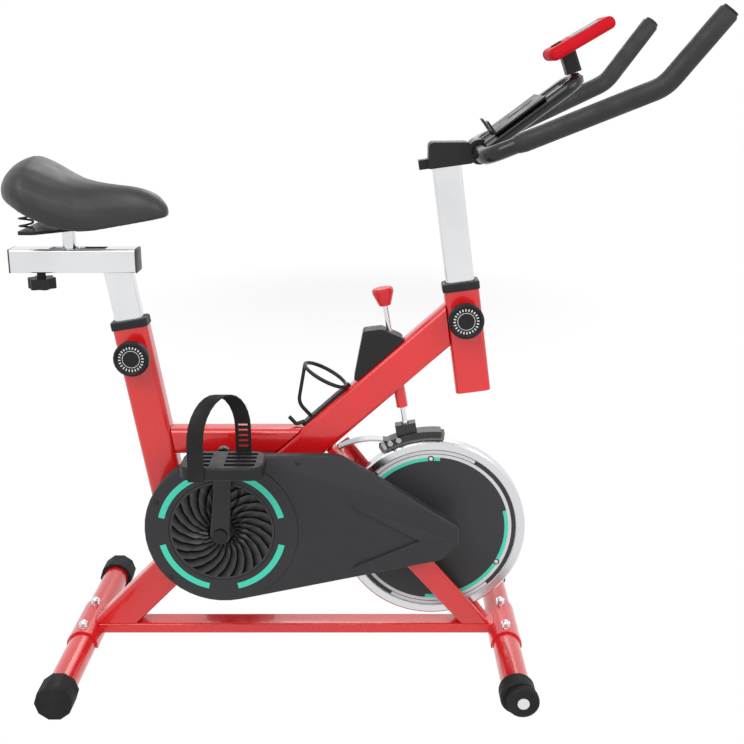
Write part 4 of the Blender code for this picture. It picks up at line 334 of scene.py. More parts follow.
# %% Paint the frame
def red_paint(name):
    return surface(name, (0.70, 0.008, 0.010), roughness=0.28, grain=(420, 0.00004), coat=0.7, shade=0.92)


paint(red_paint("red_gloss_paint"), "main_tube", "rear_leg", "seat_tube", "top_tube", "head_tube",
      "bottom_bracket", "fork", "rear_stabiliser", "front_stabiliser")
print("painted frame tubes")

# %% [markdown]
# The base rail carries plated dome nuts on its two brackets. They are part of the same solid. A second
# material on chosen faces would do, but a limit in space needs no list of faces, so the finish picks the
# nuts out by place: close to a nut's upright axis and above the bracket's crown.

# %% Paint the base rail and plate its nuts
BRACKET_RADIUS = 0.028
NUT_RADIUS = 0.0088
NUT_SPACING = 0.044
NUT_CROWN = 0.0575
NUT_PLATING = (0.72, 0.73, 0.75)
low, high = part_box("base_rail")
rail_middle = (low.x + high.x) / 2
nut_offset = (high.x - low.x) / 2 - BRACKET_RADIUS
rail = red_paint("red_rail_paint")
x, y, z = rail.axes_from((rail_middle, 0, 0))
across = rail.math("SUBTRACT", rail.math("ABSOLUTE", x), nut_offset)
beside = rail.math("SUBTRACT", rail.math("ABSOLUTE", y), NUT_SPACING)
near_axis = rail.math("LESS_THAN", rail.squares(across, beside), NUT_RADIUS ** 2)
nut = rail.math("MULTIPLY", near_axis, rail.math("GREATER_THAN", z, NUT_CROWN))
rail.feed(rail.shader.inputs["Base Color"], rail.mix(nut, rail.colour, NUT_PLATING))
rail.feed(rail.shader.inputs["Metallic"], nut)
paint(rail, "base_rail")
print("base rail with plated nuts, bracket middles at", round(nut_offset, 4))

# %% [markdown]
# ## Chrome and steel
# The two posts, the seat slide and the brake's rod are bright chrome. The pins and the flywheel's axle are
# plainer plated steel. Both finishes are fully metallic, so they show what they mirror, and the steel is
# rougher, so it mirrors more softly.

# %% Chrome the posts and plate the small metal
chrome = surface("bright_chrome", (0.80, 0.81, 0.83), roughness=0.16, grain=(300, 0.00003), metallic=1.0,
                 shade=0.9)
paint(chrome, "seat_post", "handle_post", "slide_housing", "seat_slider", "brake_rod")
steel = surface("plated_steel", (0.55, 0.56, 0.58), roughness=0.32, grain=(500, 0.00004), metallic=1.0)
paint(steel, "seat_pin", "head_pin", "flywheel_axle")
print("chrome and steel done")

# %% [markdown]
# ## Moulded black plastic and rubber
# Knobs, collars, pedals and the brake cover are textured black mouldings. The feet, wheels and toe straps
# are rubber, which is rougher. The cranks, bars and saddle springs have a smooth black paint, and the
# brake's pad is felt. In colours this dark it is gloss and grain that tell one material from another, so
# each has its own.

# %% Mould the dark parts
MOULDED_BLACK = (0.016, 0.016, 0.017)


def black_rubber(name):
    return surface(name, (0.013, 0.013, 0.013), roughness=0.7, grain=(700, 0.00020), shade=0.75,
                   specular=0.25)


black = surface("black_moulding", MOULDED_BLACK, roughness=0.45, grain=(900, 0.00012), shade=0.7,
                specular=0.25)
paint(black, "seat_collar", "head_collar", "slider_knob", "saddle_pan", "saddle_frame", "handle_clamp",
      "tablet_tray", "console_bracket", "guard_inner", "brake_housing", "bottle_cage", "drive_pulley",
      "console_button", "pedal_right", "pedal_left", "crank_axle")
paint(black_rubber("black_rubber"), "rear_cap_right", "rear_cap_left", "transport_wheel_right",
      "transport_wheel_left", "drive_belt", "toe_strap_right", "toe_strap_left")
gloss = surface("black_bar_paint", (0.008, 0.008, 0.009), roughness=0.2, grain=(300, 0.00004), shade=0.8,
                specular=0.45)
paint(gloss, "handlebar", "inner_bar", "crank_arm_right", "crank_arm_left", "saddle_spring_right",
      "saddle_spring_left")
felt = surface("pressed_felt", (0.22, 0.21, 0.20), roughness=0.95, grain=(1600, 0.0006), shade=0.6)
paint(felt, "brake_pad")
print("dark parts done")

# %% [markdown]
# The front caps are the same rubber, but the head of the wheel's pin on each end is pale plastic. The heads
# stand furthest out, so one limit across the bike's width picks them out.

# %% Pick out the wheel pins
PIN_HEAD_DEPTH = 0.0012
PALE_PLASTIC = (0.72, 0.72, 0.70)
cap = black_rubber("black_rubber_cap")
sideways = cap.math("ABSOLUTE", cap.axes_from((0, 0, 0))["Y"])
pin_head = cap.math("GREATER_THAN", sideways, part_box("front_cap_left")[1].y - PIN_HEAD_DEPTH)
cap.feed(cap.shader.inputs["Base Color"], cap.mix(pin_head, cap.colour, PALE_PLASTIC))
paint(cap, "front_cap_right", "front_cap_left")
print("wheel pins done")

# %% [markdown]
# ## The flywheel
# The cast wheel has a turned steel rim. Its face inside the rim is black and edged by printed rings: a teal
# arc on each half, a pale ring, two thin dark lines and a thicker dark arc between them. An image would
# have to be unwrapped onto the face. Rings and arcs are only a few sums of distance and angle from the
# axle, which stay sharp and turn with the wheel.

# %% Draw the flywheel's face
TEAL = (0.060, 0.62, 0.44)
DARK = (0.034, 0.034, 0.037)
PALE_PRINT = (0.62, 0.62, 0.64)
RIM_BRIGHT = (0.74, 0.75, 0.77)
RIM_DULL = (0.52, 0.53, 0.55)
TURNED_LINES = 4200.0
TURNED_SHARE = 0.3
FACE_RADIUS = 0.1503
TEAL_BAND = (0.1290, 0.1355)
THICK_BAND = (0.1424, 0.1482)
LINE_BANDS = ((0.1412, 0.1424), (0.1482, 0.1490))
TEAL_START, TEAL_SWEEP = math.radians(-95), math.radians(110)
THICK_START, THICK_SWEEP = math.radians(-47), math.radians(107)
RIVET_RADIUS = 0.1325
RIVET_ANGLES = (math.radians(92), math.radians(-29))
RIVET_COLLAR = 0.0058
FACE_DULLNESS = 0.2
low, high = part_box("flywheel")
axle = (low + high) / 2
wheel = surface("turned_flywheel", (0.60, 0.61, 0.63), roughness=0.24, grain=(260, 0.00003), metallic=1.0,
                specular=0.3)
radius, angle = wheel.polar_from(axle)
lathe = wheel.math("SINE", wheel.math("MULTIPLY", radius, TURNED_LINES))
rim_colour = wheel.mix(wheel.spread(lathe, 0, TURNED_SHARE, -1, 1), RIM_BRIGHT, RIM_DULL)


def half_arc(start, sweep):
    """1 on two opposite arcs that start at an angle and run on for a sweep."""
    turned = wheel.math("FLOORED_MODULO", wheel.math("SUBTRACT", angle, start), math.pi)
    return wheel.math("LESS_THAN", turned, sweep)


def ring(band, share=1.0):
    return wheel.math("MULTIPLY", wheel.within(radius, *band), share)


def on_wheel(turn):
    """The point of the wheel's middle plane where a rivet stands at an angle."""
    return axle + Vector((math.cos(turn), 0, math.sin(turn))) * RIVET_RADIUS


face = wheel.math("LESS_THAN", radius, FACE_RADIUS)
teal = ring(TEAL_BAND, half_arc(TEAL_START, TEAL_SWEEP))
lines = wheel.math("MAXIMUM", *(ring(band) for band in LINE_BANDS))
thick = ring(THICK_BAND, half_arc(THICK_START, THICK_SWEEP))
inside = wheel.math("LESS_THAN", radius, TEAL_BAND[1])
dark = wheel.math("MAXIMUM", wheel.math("MAXIMUM", lines, thick), inside)
for turn in RIVET_ANGLES:
    x, _, z = wheel.axes_from(on_wheel(turn))
    collar = wheel.math("LESS_THAN", wheel.squares(x, z), RIVET_COLLAR ** 2)
    teal = wheel.math("MULTIPLY", teal, wheel.math("SUBTRACT", 1.0, collar))
    dark = wheel.math("MAXIMUM", dark, collar)
printed = wheel.mix(teal, wheel.mix(dark, PALE_PRINT, DARK), TEAL)
wheel.feed(wheel.shader.inputs["Base Color"], wheel.mix(face, rim_colour, printed))
wheel.feed(wheel.shader.inputs["Metallic"], wheel.math("SUBTRACT", 1.0, face))
duller = wheel.math("MULTIPLY", face, FACE_DULLNESS)
wheel.feed(wheel.shader.inputs["Roughness"], wheel.math("ADD", wheel.rough, duller))
paint(wheel, "flywheel")
print("flywheel centre", [round(v, 4) for v in axle])

# %% [markdown]
# The brake's arm is one solid with three looks: the spring leaf is bright strip steel, the channel that
# holds the pad is black, and its two bolt heads are plated. Limits in space tell them apart, as on the
# rail: the leaf lies beyond a set angle round the wheel, and the heads stand proud of the channel's side.

# %% Finish the brake arm
LEAF_START = math.radians(118)
CHANNEL_SIDE = 0.0153
arm = surface("brake_arm_finish", (0.48, 0.49, 0.50), roughness=0.3, grain=(500, 0.00004), metallic=1.0)
_, angle = arm.polar_from(axle)
leaf = arm.math("GREATER_THAN", angle, LEAF_START)
sideways = arm.math("ABSOLUTE", arm.axes_from((0, 0, 0))["Y"])
proud = arm.math("GREATER_THAN", sideways, CHANNEL_SIDE)
bright = arm.math("MAXIMUM", leaf, proud)
arm.feed(arm.shader.inputs["Base Color"], arm.mix(bright, MOULDED_BLACK, arm.colour))
arm.feed(arm.shader.inputs["Metallic"], bright)
paint(arm, "brake_arm")
print("brake arm finished")

# %% [markdown]
# ## Cutting tools
# Three more helpers shape a mesh as by hand. One keeps only the faces that pass a test, one adds a cylinder
# along the bike's width, and one cuts a piece with another. The Boolean's exact solver is used, because the
# fast one can't handle faces that lie on each other.

# %% Cutting tools
ROUND_SIDES = 96


def keep_only(piece, test):
    """Deletes every face whose corners or normal a test turns down."""
    clear_choice(piece, "FACE")
    points = piece.data.vertices
    for face in piece.data.polygons:
        face.select = not test([points[i].co for i in face.vertices], face.normal)
    bpy.ops.object.mode_set(mode="EDIT")
    bpy.ops.mesh.delete(type="FACE")
    bpy.ops.object.mode_set(mode="OBJECT")


def drum(name, radius, depth, middle):
    """A cylinder along Y with its place in its mesh."""
    deselect()
    bpy.ops.mesh.primitive_cylinder_add(vertices=ROUND_SIDES, radius=radius, depth=depth, location=middle,
                                        rotation=(math.pi / 2, 0, 0))
    return settle(name)


def carve(thing, tool):
    """Cuts one piece with another, which is then thrown away."""
    apply(thing, "BOOLEAN", operation="DIFFERENCE", solver="EXACT", object=tool)
    bpy.data.objects.remove(tool)


print("cutting tools ready")

# %% [markdown]
# ## The belt guard
# The moulded guard has more form than its solid: a broad shoulder slopes back along the top of its arm, the
# round drum stands proud of the arm by a step, and the arrow is a pair of wedges. The shell starts from the
# solid's own outer wall, so its outline stays true. The front is filled in, the shoulder is bisected off,
# the edge is rounded, the wall gets its thickness, and the round opening is cut last.

# %% Model the guard's shell
RIB_HEIGHT = 0.002
GUARD_EDGE = 0.004
GUARD_WALL = 0.0025
OPENING = 0.0903
SHOULDER_TILT = math.radians(17)
EDGE_ANGLE = math.radians(40)
WALL_LEAN = 0.1
CUTTER_DEPTH = 0.012
SNUG = 0.00001
NEAR = 0.0001
hub = (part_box("guard_vanes")[0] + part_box("guard_vanes")[1]) / 2
face_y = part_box("guard_outer")[0].y + RIB_HEIGHT
wall_end = face_y + GUARD_EDGE
crease = Vector((-0.1056, face_y, 0.3715))
crease_end = Vector((0.1972, face_y, 0.2806))
forwards = Vector((0, -1, 0))
shoulder_normal = Matrix.Rotation(-SHOULDER_TILT, 3, (crease_end - crease).normalized()) @ forwards


def on_wall(points, normal):
    return min(p.y for p in points) > wall_end - SNUG and abs(normal.y) < WALL_LEAN


guard = merged("guard_outer", "guard_shell")
keep_only(guard, on_wall)
select_points(guard, lambda point: point.y < wall_end + NEAR)
bpy.ops.mesh.extrude_edges_move(TRANSFORM_OT_translate={"value": (0, -GUARD_EDGE, 0)})
bpy.ops.mesh.edge_face_add()
bpy.ops.mesh.select_all(action="SELECT")
bpy.ops.mesh.normals_make_consistent(inside=False)
bpy.ops.mesh.bisect(plane_co=crease, plane_no=shoulder_normal, use_fill=True, clear_outer=True)
bpy.ops.object.mode_set(mode="OBJECT")
apply(guard, "BEVEL", width=GUARD_EDGE, segments=4, limit_method="ANGLE", angle_limit=EDGE_ANGLE)
apply(guard, "SOLIDIFY", thickness=GUARD_WALL, offset=-1)
carve(guard, drum("opening", OPENING, CUTTER_DEPTH, (hub.x, face_y, hub.z)))
smooth_below(guard, TUBE_ANGLE)
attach(guard, "frame")
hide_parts("guard_outer")
print("guard shell faces:", len(guard.data.polygons))
print("shoulder faces", [round(v, 3) for v in shoulder_normal])

# %% [markdown]
# The drum is a cylinder with its middle cut out and its edges bevelled, set on the guard's face. The arrow
# starts from the flat top of the solid's own rib: it is extruded to the face, and its inner edge is pulled
# out, so that its upper leg turns to the light and its lower leg away from it. Both are bedded in the face
# as pieces of their own, which is simpler than joining them to it.

# %% Raise the drum and the arrow
DRUM_RADIUS = 0.1308
DRUM_RISE = 0.0025
DRUM_EDGE = 0.0012
DRUM_CLEARANCE = 0.0006
BEDDING = 0.0002
ARROW_RISE = 0.0040
ARROW_LIP = 0.0004
FLAT_ANGLE = math.radians(1)
boss_middle = (hub.x, face_y - DRUM_RISE / 2 + BEDDING / 2, hub.z)
boss = drum("guard_drum", DRUM_RADIUS, DRUM_RISE + BEDDING, boss_middle)
carve(boss, drum("middle", OPENING + DRUM_CLEARANCE, CUTTER_DEPTH, (hub.x, face_y, hub.z)))
apply(boss, "BEVEL", width=DRUM_EDGE, segments=3, limit_method="ANGLE")
arrow = merged("guard_outer", "guard_arrow")
rib_top = face_y - RIB_HEIGHT
keep_only(arrow, lambda points, normal: max(p.y for p in points) < rib_top + SNUG)
select_points(arrow, lambda point: True)
bpy.ops.mesh.dissolve_limited(angle_limit=FLAT_ANGLE)
bpy.ops.mesh.select_all(action="SELECT")
bpy.ops.mesh.extrude_region_move(TRANSFORM_OT_translate={"value": (0, RIB_HEIGHT + BEDDING, 0)})
bpy.ops.mesh.select_all(action="SELECT")
bpy.ops.mesh.normals_make_consistent(inside=False)
bpy.ops.object.mode_set(mode="OBJECT")
tip_x = max(point.co.x for point in arrow.data.vertices)
top_z = max(point.co.z for point in arrow.data.vertices)
low_z = min(point.co.z for point in arrow.data.vertices)


def on_outer_edge(point):
    return point.x > tip_x - NEAR or point.z > top_z - NEAR or point.z < low_z + NEAR


select_points(arrow, lambda point: point.y < rib_top + SNUG and on_outer_edge(point))
bpy.ops.transform.translate(value=(0, RIB_HEIGHT - ARROW_LIP, 0))
bpy.ops.object.mode_set(mode="OBJECT")
select_points(arrow, lambda point: point.y < rib_top + SNUG)
bpy.ops.transform.translate(value=(0, RIB_HEIGHT - ARROW_RISE, 0))
bpy.ops.object.mode_set(mode="OBJECT")
smooth_below(boss, TUBE_ANGLE)
for piece in (boss, arrow):
    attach(piece, "frame")
print("drum and arrow on the face at", round(face_y, 4), "arrow points:", len(arrow.data.vertices))

# %% [markdown]
# The guard is a charcoal moulding with a spark-eroded grain. Four teal arcs are printed on its drum, with
# gaps at the top, bottom and sides. A sine of twice the angle falls to nothing at just those four places,
# so one limit on it makes every gap.

# %% Print the guard
PRINT_BAND = (0.1000, 0.1105)
PRINT_DEPTH = 0.0008
GAP_SINE = 0.46
charcoal = surface("charcoal_moulding", (0.029, 0.029, 0.032), roughness=0.5, grain=(1100, 0.00012),
                   shade=0.88, specular=0.3)
radius, angle = charcoal.polar_from(hub)
quarters = charcoal.math("ABSOLUTE", charcoal.math("SINE", charcoal.math("MULTIPLY", angle, 2.0)))
between_gaps = charcoal.math("GREATER_THAN", quarters, GAP_SINE)
arcs = charcoal.math("MULTIPLY", charcoal.within(radius, *PRINT_BAND), between_gaps)
front = charcoal.math("LESS_THAN", charcoal.axes_from((0, 0, 0))["Y"], face_y + PRINT_DEPTH)
printed = charcoal.math("MULTIPLY", arcs, front)
charcoal.feed(charcoal.shader.inputs["Base Color"], charcoal.mix(printed, charcoal.colour, TEAL))
coat(charcoal, guard, boss, arrow)
print("guard printed round", [round(v, 4) for v in hub])

# %% [markdown]
# Each vane of the disc rises from a deep step to a bright edge and sweeps round as it runs out to the rim.
# The solid has these steps already, but they are shallow. The finish follows the same saw-tooth in angle as a
# bump, and also as painted shade: the colour is painted near black at each step, where shade would fall,
# and rises to the full colour towards the raised edge. The gloss rises with it, so the steps read dark and
# the raised edges read lit.

# %% Shade the vanes with a bump and painted shade
VANES = 24
SWEEP = math.radians(38)
HUB_RADIUS = 0.024
VANE_RADIUS = 0.086
PAINTED_STEP_SHADE = (0.003, 0.003, 0.003)
STEP_END, EDGE_START = 0.12, 0.75
VANE_GLOSS = 0.4
STEP_STRENGTH = 0.6
STEP_DEPTH = 0.004
vanes = surface("vane_moulding", (0.034, 0.034, 0.037), roughness=0.36, shade=0.88, specular=VANE_GLOSS)
radius, angle = vanes.polar_from(hub)
share = vanes.math("DIVIDE", vanes.math("SUBTRACT", radius, HUB_RADIUS), VANE_RADIUS - HUB_RADIUS)
turned = vanes.math("ADD", angle, vanes.math("MULTIPLY", share, SWEEP))
tooth = vanes.math("FLOORED_MODULO", vanes.math("MULTIPLY", turned, VANES / (2 * math.pi)), 1.0)
depth = vanes.math("MULTIPLY", tooth, vanes.math("LESS_THAN", radius, VANE_RADIUS))
rim = vanes.math("GREATER_THAN", radius, VANE_RADIUS)
# painted shade: near black at each vane's step, full colour towards its raised edge and beyond the vanes
painted_lit_share = vanes.math("MAXIMUM", vanes.spread(tooth, 0.0, 1.0, STEP_END, EDGE_START), rim)
vanes.feed(vanes.shader.inputs["Base Color"], vanes.mix(painted_lit_share, PAINTED_STEP_SHADE, vanes.colour))
vanes.feed(vanes.shader.inputs["Specular IOR Level"], vanes.math("MULTIPLY", painted_lit_share, VANE_GLOSS))
vanes.bump(depth, STEP_STRENGTH, STEP_DEPTH)
paint(vanes, "guard_vanes")
print("vanes shaded:", VANES)

# %% [markdown]
# ## Knobs
# The two pop-pin knobs have a ring of plain pale ticks round a dished black face. Ticks could be cut as
# small solids, but they are only ink, so a sine of the angle draws them, and their number is one value.

# %% Tick the pop-pin knobs
TICKS = 24.0
TICK_SINE = 0.35
TICK_BAND = (0.0175, 0.0215)
RING_BAND = (0.0140, 0.0148)
INK_DEPTH = 0.004
PALE_INK = (0.70, 0.70, 0.70)
for name in ("seat_knob", "head_knob"):
    low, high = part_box(name)
    knob = surface(name + "_moulding", (0.012, 0.012, 0.013), roughness=0.45, grain=(900, 0.00012),
                   shade=0.7, specular=0.25)
    radius, angle = knob.polar_from((low + high) / 2)
    wave = knob.math("SINE", knob.math("MULTIPLY", angle, TICKS))
    ticks = knob.math("MULTIPLY", knob.within(radius, *TICK_BAND), knob.math("GREATER_THAN", wave, TICK_SINE))
    outer_face = knob.math("LESS_THAN", knob.axes_from((0, 0, 0))["Y"], low.y + INK_DEPTH)
    inked = knob.math("MAXIMUM", ticks, knob.within(radius, *RING_BAND))
    marks = knob.math("MULTIPLY", inked, outer_face)
    knob.feed(knob.shader.inputs["Base Color"], knob.mix(marks, knob.colour, PALE_INK))
    paint(knob, name)
print("knobs ticked")

# %% [markdown]
# The tension knob is a red moulding. It is a little duller than the frame's paint and has no clear coat,
# which is what makes it read as plastic.

# %% Colour the tension knob
tension = surface("red_knob_moulding", (0.66, 0.010, 0.016), roughness=0.35, grain=(700, 0.00008),
                  shade=0.88)
paint(tension, "tension_knob")
print("tension knob done")

# %% [markdown]
# ## The saddle's cushion
# The real cushion is moulded foam under one stretched cover, crowned behind and drawn in below its widest
# line. The solid already has that form in straight facets, so its mesh is copied, remade in small even
# cells, and relaxed until the facets are gone. Its lip is thin, so it is first swollen a little and its
# tail is closed by a small block. Afterwards the tail is shortened to its true length, and the pan below is
# tucked up inside the lip.

# %% Model the cushion
LIP_SWELL = 0.0012
TAIL_LIP = Vector((-0.5572, 0, 0.8345))
TAIL_BLOCK = (0.0060, 0.030, 0.0150)
CELL = 0.0020
RELAX_STEPS = 36
SADDLE_WAIST = Vector((-0.45, 0, 0.81))
TAIL_SHARE = 0.905
PAN_SHARES = (0.82, 0.90, 1)
PAN_LIFT = 0.002
cushion = merged("saddle_pad", "saddle_cushion")
apply(cushion, "DISPLACE", strength=LIP_SWELL, mid_level=0)
bpy.ops.object.mode_set(mode="EDIT")
bpy.ops.mesh.primitive_cube_add(size=1, location=TAIL_LIP, scale=TAIL_BLOCK)
bpy.ops.object.mode_set(mode="OBJECT")
apply(cushion, "REMESH", mode="VOXEL", voxel_size=CELL)
apply(cushion, "SMOOTH", factor=0.6, iterations=RELAX_STEPS)
cushion.data.shade_smooth()
select_points(cushion, lambda point: point.x < SADDLE_WAIST.x)
bpy.ops.transform.resize(value=(TAIL_SHARE, 1, 1), center_override=SADDLE_WAIST)
bpy.ops.object.mode_set(mode="OBJECT")
select_points(shown["saddle_pan"], lambda point: True)
bpy.ops.transform.resize(value=PAN_SHARES, center_override=SADDLE_WAIST)
bpy.ops.transform.translate(value=(0, 0, PAN_LIFT))
bpy.ops.object.mode_set(mode="OBJECT")
print("cushion faces:", len(cushion.data.polygons))

# %% [markdown]
# The cover is black and supple, with a fine pebbled grain and a few slow creases. An image of leather would
# show its repeats and would need the cushion unwrapped. A Voronoi texture measures the distance to the edge
# of a cell, which raises each pebble, and a slow noise adds the creases.

# %% Cover the cushion
PEBBLE_SCALE = 620
PEBBLE_EDGE = 0.25
CREASE_SCALE = 14.0
CREASE_SHARE = 0.5
leather = surface("saddle_cover", (0.018, 0.017, 0.019), roughness=0.38, shade=0.8, specular=0.55)
cells = leather.node("ShaderNodeTexVoronoi", feature="DISTANCE_TO_EDGE")
cells.inputs["Scale"].default_value = PEBBLE_SCALE
leather.feed(cells.inputs["Vector"], leather.place)
pebbles = leather.spread(cells.outputs["Distance"], 0, 1, 0, PEBBLE_EDGE)
creases = leather.math("MULTIPLY", leather.noise(CREASE_SCALE), CREASE_SHARE)
leather.bump(leather.math("ADD", pebbles, creases), strength=0.3, distance=0.00035)
coat(leather, cushion)
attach(cushion, "saddle")
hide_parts("saddle_pad")
print("cushion covered")

# %% [markdown]
# ## Foam grips
# Each horn of the handlebar is sleeved in matte foam with a rounded start and a plug at its tip. A sleeve
# is a row of circles set square to the bar along its run and bridged into a tube, which is how it would be
# lofted by hand. A bevelled curve would follow the bar as well, but with circles it is plain where each
# ring sits and how wide it is.

# %% A lofting tool
def turn_to(heading):
    """The rotation that turns upright to a direction."""
    return Vector(heading).to_track_quat("Z", "Y").to_euler()


def circle_row(name, stations, sides=28):
    """Tube through circles, each given by its middle, its direction and its radius, closed at both ends."""
    deselect()
    for i, (middle, heading, radius) in enumerate(stations):
        bpy.ops.mesh.primitive_circle_add(vertices=sides, radius=radius, location=middle,
                                          rotation=turn_to(heading))
        if i == 0:
            thing = settle(name)
            bpy.ops.object.mode_set(mode="EDIT")
    bpy.ops.mesh.select_all(action="SELECT")
    bpy.ops.mesh.bridge_edge_loops()
    bpy.ops.mesh.select_all(action="DESELECT")
    bpy.ops.mesh.select_mode(type="EDGE")
    bpy.ops.mesh.select_non_manifold()
    bpy.ops.mesh.edge_face_add()
    bpy.ops.mesh.select_all(action="SELECT")
    bpy.ops.mesh.normals_make_consistent(inside=False)
    bpy.ops.object.mode_set(mode="OBJECT")
    return thing


print("lofting tool ready")

# %% [markdown]
# A horn runs straight from its base, bends up and ends in a straight tip. Its three corners are those that
# the bar's solid is bent through, so the sleeve lies true to the bar. Stations are spaced along both
# straight runs, and a curve between them takes the sleeve round the bend.

# %% Follow the horn
BAR_SHIFT = 0.00133
BAR_BEND = 0.060
STRAIGHT_STOPS, BEND_STOPS, TIP_STOPS = 6, 8, 3
horn_tip = Vector((0.548 + BAR_SHIFT, 0.222, 1.104))
horn_bend = Vector((0.470 + BAR_SHIFT, 0.205, 1.003))
horn_base = Vector((0.226 + BAR_SHIFT, 0.125, 0.897))
lower_run = (horn_bend - horn_base).normalized()
upper_run = (horn_tip - horn_bend).normalized()
bend_reach = BAR_BEND * math.tan(lower_run.angle(upper_run) / 2)
bend_in = horn_bend - lower_run * bend_reach
bend_out = horn_bend + upper_run * bend_reach


def horn_stations(start):
    """Middle and heading along one horn, from a distance past the base to the tip."""
    stations = [(horn_base + lower_run * start, lower_run)]
    length = (bend_in - horn_base).length
    for i in range(1, STRAIGHT_STOPS):
        along = start + (length - start) * i / STRAIGHT_STOPS
        stations.append((horn_base + lower_run * along, lower_run))
    for i in range(BEND_STOPS + 1):
        share = i / BEND_STOPS
        first = bend_in.lerp(horn_bend, share)
        second = horn_bend.lerp(bend_out, share)
        stations.append((first.lerp(second, share), lower_run.lerp(upper_run, share).normalized()))
    for i in range(1, TIP_STOPS + 1):
        stations.append((bend_out.lerp(horn_tip, i / TIP_STOPS), upper_run))
    return stations


print("horn bends by", round(math.degrees(lower_run.angle(upper_run)), 1), "degrees")

# %% [markdown]
# The first rings widen over a short taper and the last ones draw in, so neither end has a hard edge. The
# right sleeve is lofted through the mirrored row, because mirroring a finished mesh would turn its faces
# inside out.

# %% Loft the grips
GRIP_RADIUS = 0.0152
GRIP_START = 0.062
GRIP_TAPER = 0.012
START_EDGE = ((0.0, 0.0131), (0.004, 0.0139), (GRIP_TAPER, GRIP_RADIUS))
TIP_EDGE = ((0.0, 0.0132), (0.0008, 0.0138), (0.003, GRIP_RADIUS))
stations = horn_stations(GRIP_START)
start_middle, start_heading = stations[0]
tip_middle, tip_heading = stations[-1]
grip_foot = start_middle - start_heading * GRIP_TAPER
grip_row = [(grip_foot + start_heading * along, start_heading, radius) for along, radius in START_EDGE]
grip_row += [(middle, heading, GRIP_RADIUS) for middle, heading in stations[1:-1]]
grip_row += [(tip_middle - tip_heading * along, tip_heading, radius) for along, radius in reversed(TIP_EDGE)]
mirrored_row = [((m.x, -m.y, m.z), (h.x, -h.y, h.z), radius) for m, h, radius in grip_row]
grip_right = circle_row("foam_grip_right", mirrored_row)
grip_left = circle_row("foam_grip_left", grip_row)
print("grip from", [round(v, 3) for v in start_middle], "to", [round(v, 3) for v in tip_middle])

# %% [markdown]
# Foam is matte and finely pored. Two noises are added and raised as a bump: the small one makes the pores
# and the larger one an uneven skin.

# %% Foam the grips
PORE_SCALE = 1500.0
PORE_DETAIL = 5.0
SKIN_SCALE = 300.0
foam = surface("grip_foam", (0.020, 0.020, 0.021), roughness=0.55, shade=0.75, specular=0.4)
pores = foam.noise(PORE_SCALE, PORE_DETAIL)
foam.bump(foam.math("ADD", pores, foam.noise(SKIN_SCALE)), strength=0.5, distance=0.0005)
coat(foam, grip_right, grip_left)
for grip in (grip_right, grip_left):
    soften(grip, EDGE_ANGLE)
    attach(grip, "handlebar")
print("grips foamed")

# %% [markdown]
# ## Grip plugs
# A moulded plug closes each bar end: a low button with a rounded edge, made from a cylinder whose outer
# face is inset and pushed in. The bevel comes last, so that it rounds the new rim and the outer edge alike.

# %% Turn the plugs
PLUG_RADIUS = 0.0125
PLUG_DEPTH = 0.004
PLUG_RIM = 0.004
PLUG_DISH = 0.0012
PLUG_EDGE = 0.0006
PLUG_PROUD = 0.0018


def plug(name, middle, heading):
    deselect()
    bpy.ops.mesh.primitive_cylinder_add(vertices=28, radius=PLUG_RADIUS, depth=PLUG_DEPTH, location=middle,
                                        rotation=turn_to(heading))
    thing = settle(name)
    face_towards(thing, heading)
    bpy.ops.mesh.inset(thickness=PLUG_RIM)
    bpy.ops.transform.translate(value=heading * -PLUG_DISH)
    bpy.ops.object.mode_set(mode="OBJECT")
    apply(thing, "BEVEL", width=PLUG_EDGE, segments=2, limit_method="ANGLE")
    soften(thing, EDGE_ANGLE)
    coat(black, thing)
    return thing


for sign, side in ((-1, "right"), (1, "left")):
    heading = Vector((tip_heading.x, sign * tip_heading.y, tip_heading.z))
    end = Vector((tip_middle.x, sign * tip_middle.y, tip_middle.z)) + heading * PLUG_PROUD
    piece = plug("bar_plug_" + side, end, heading)
    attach(piece, "handlebar")
print("plugs done")

# %% [markdown]
# ## Guard screws
# Three cross-head screws hold the guard, two on its drum and one on its shoulder. Each is a cylinder with a
# domed edge whose face is cut by two slots. The cuts are simplest along the axes, so it is modelled upright
# and then turned to face outwards.

# %% Model the screws
HEAD_RADIUS = 0.0042
HEAD_DEPTH = 0.0022
DOME_SHARE = 0.25
SLOT_LENGTH, SLOT_WIDTH, SLOT_DEPTH = 1.2, 0.26, 0.0014
HEAD_RISE = 0.0008
HEAD_ANGLE = math.radians(35)


def screw(name, middle, outwards):
    """Domed pan head with a cross recess, facing along a direction."""
    deselect()
    bpy.ops.mesh.primitive_cylinder_add(vertices=24, radius=HEAD_RADIUS, depth=HEAD_DEPTH, location=(0, 0, 0))
    thing = settle(name)
    apply(thing, "BEVEL", width=HEAD_RADIUS * DOME_SHARE, segments=3, limit_method="ANGLE")
    for turned in (0, math.pi / 2):
        bpy.ops.mesh.primitive_cube_add(size=1, location=(0, 0, HEAD_DEPTH / 2), rotation=(0, 0, turned))
        bpy.context.object.scale = (HEAD_RADIUS * SLOT_LENGTH, HEAD_RADIUS * SLOT_WIDTH, SLOT_DEPTH)
        carve(thing, settle("blade"))
    thing.data.transform(Matrix.Translation(middle) @ turn_to(outwards).to_matrix().to_4x4())
    soften(thing, HEAD_ANGLE)
    return thing


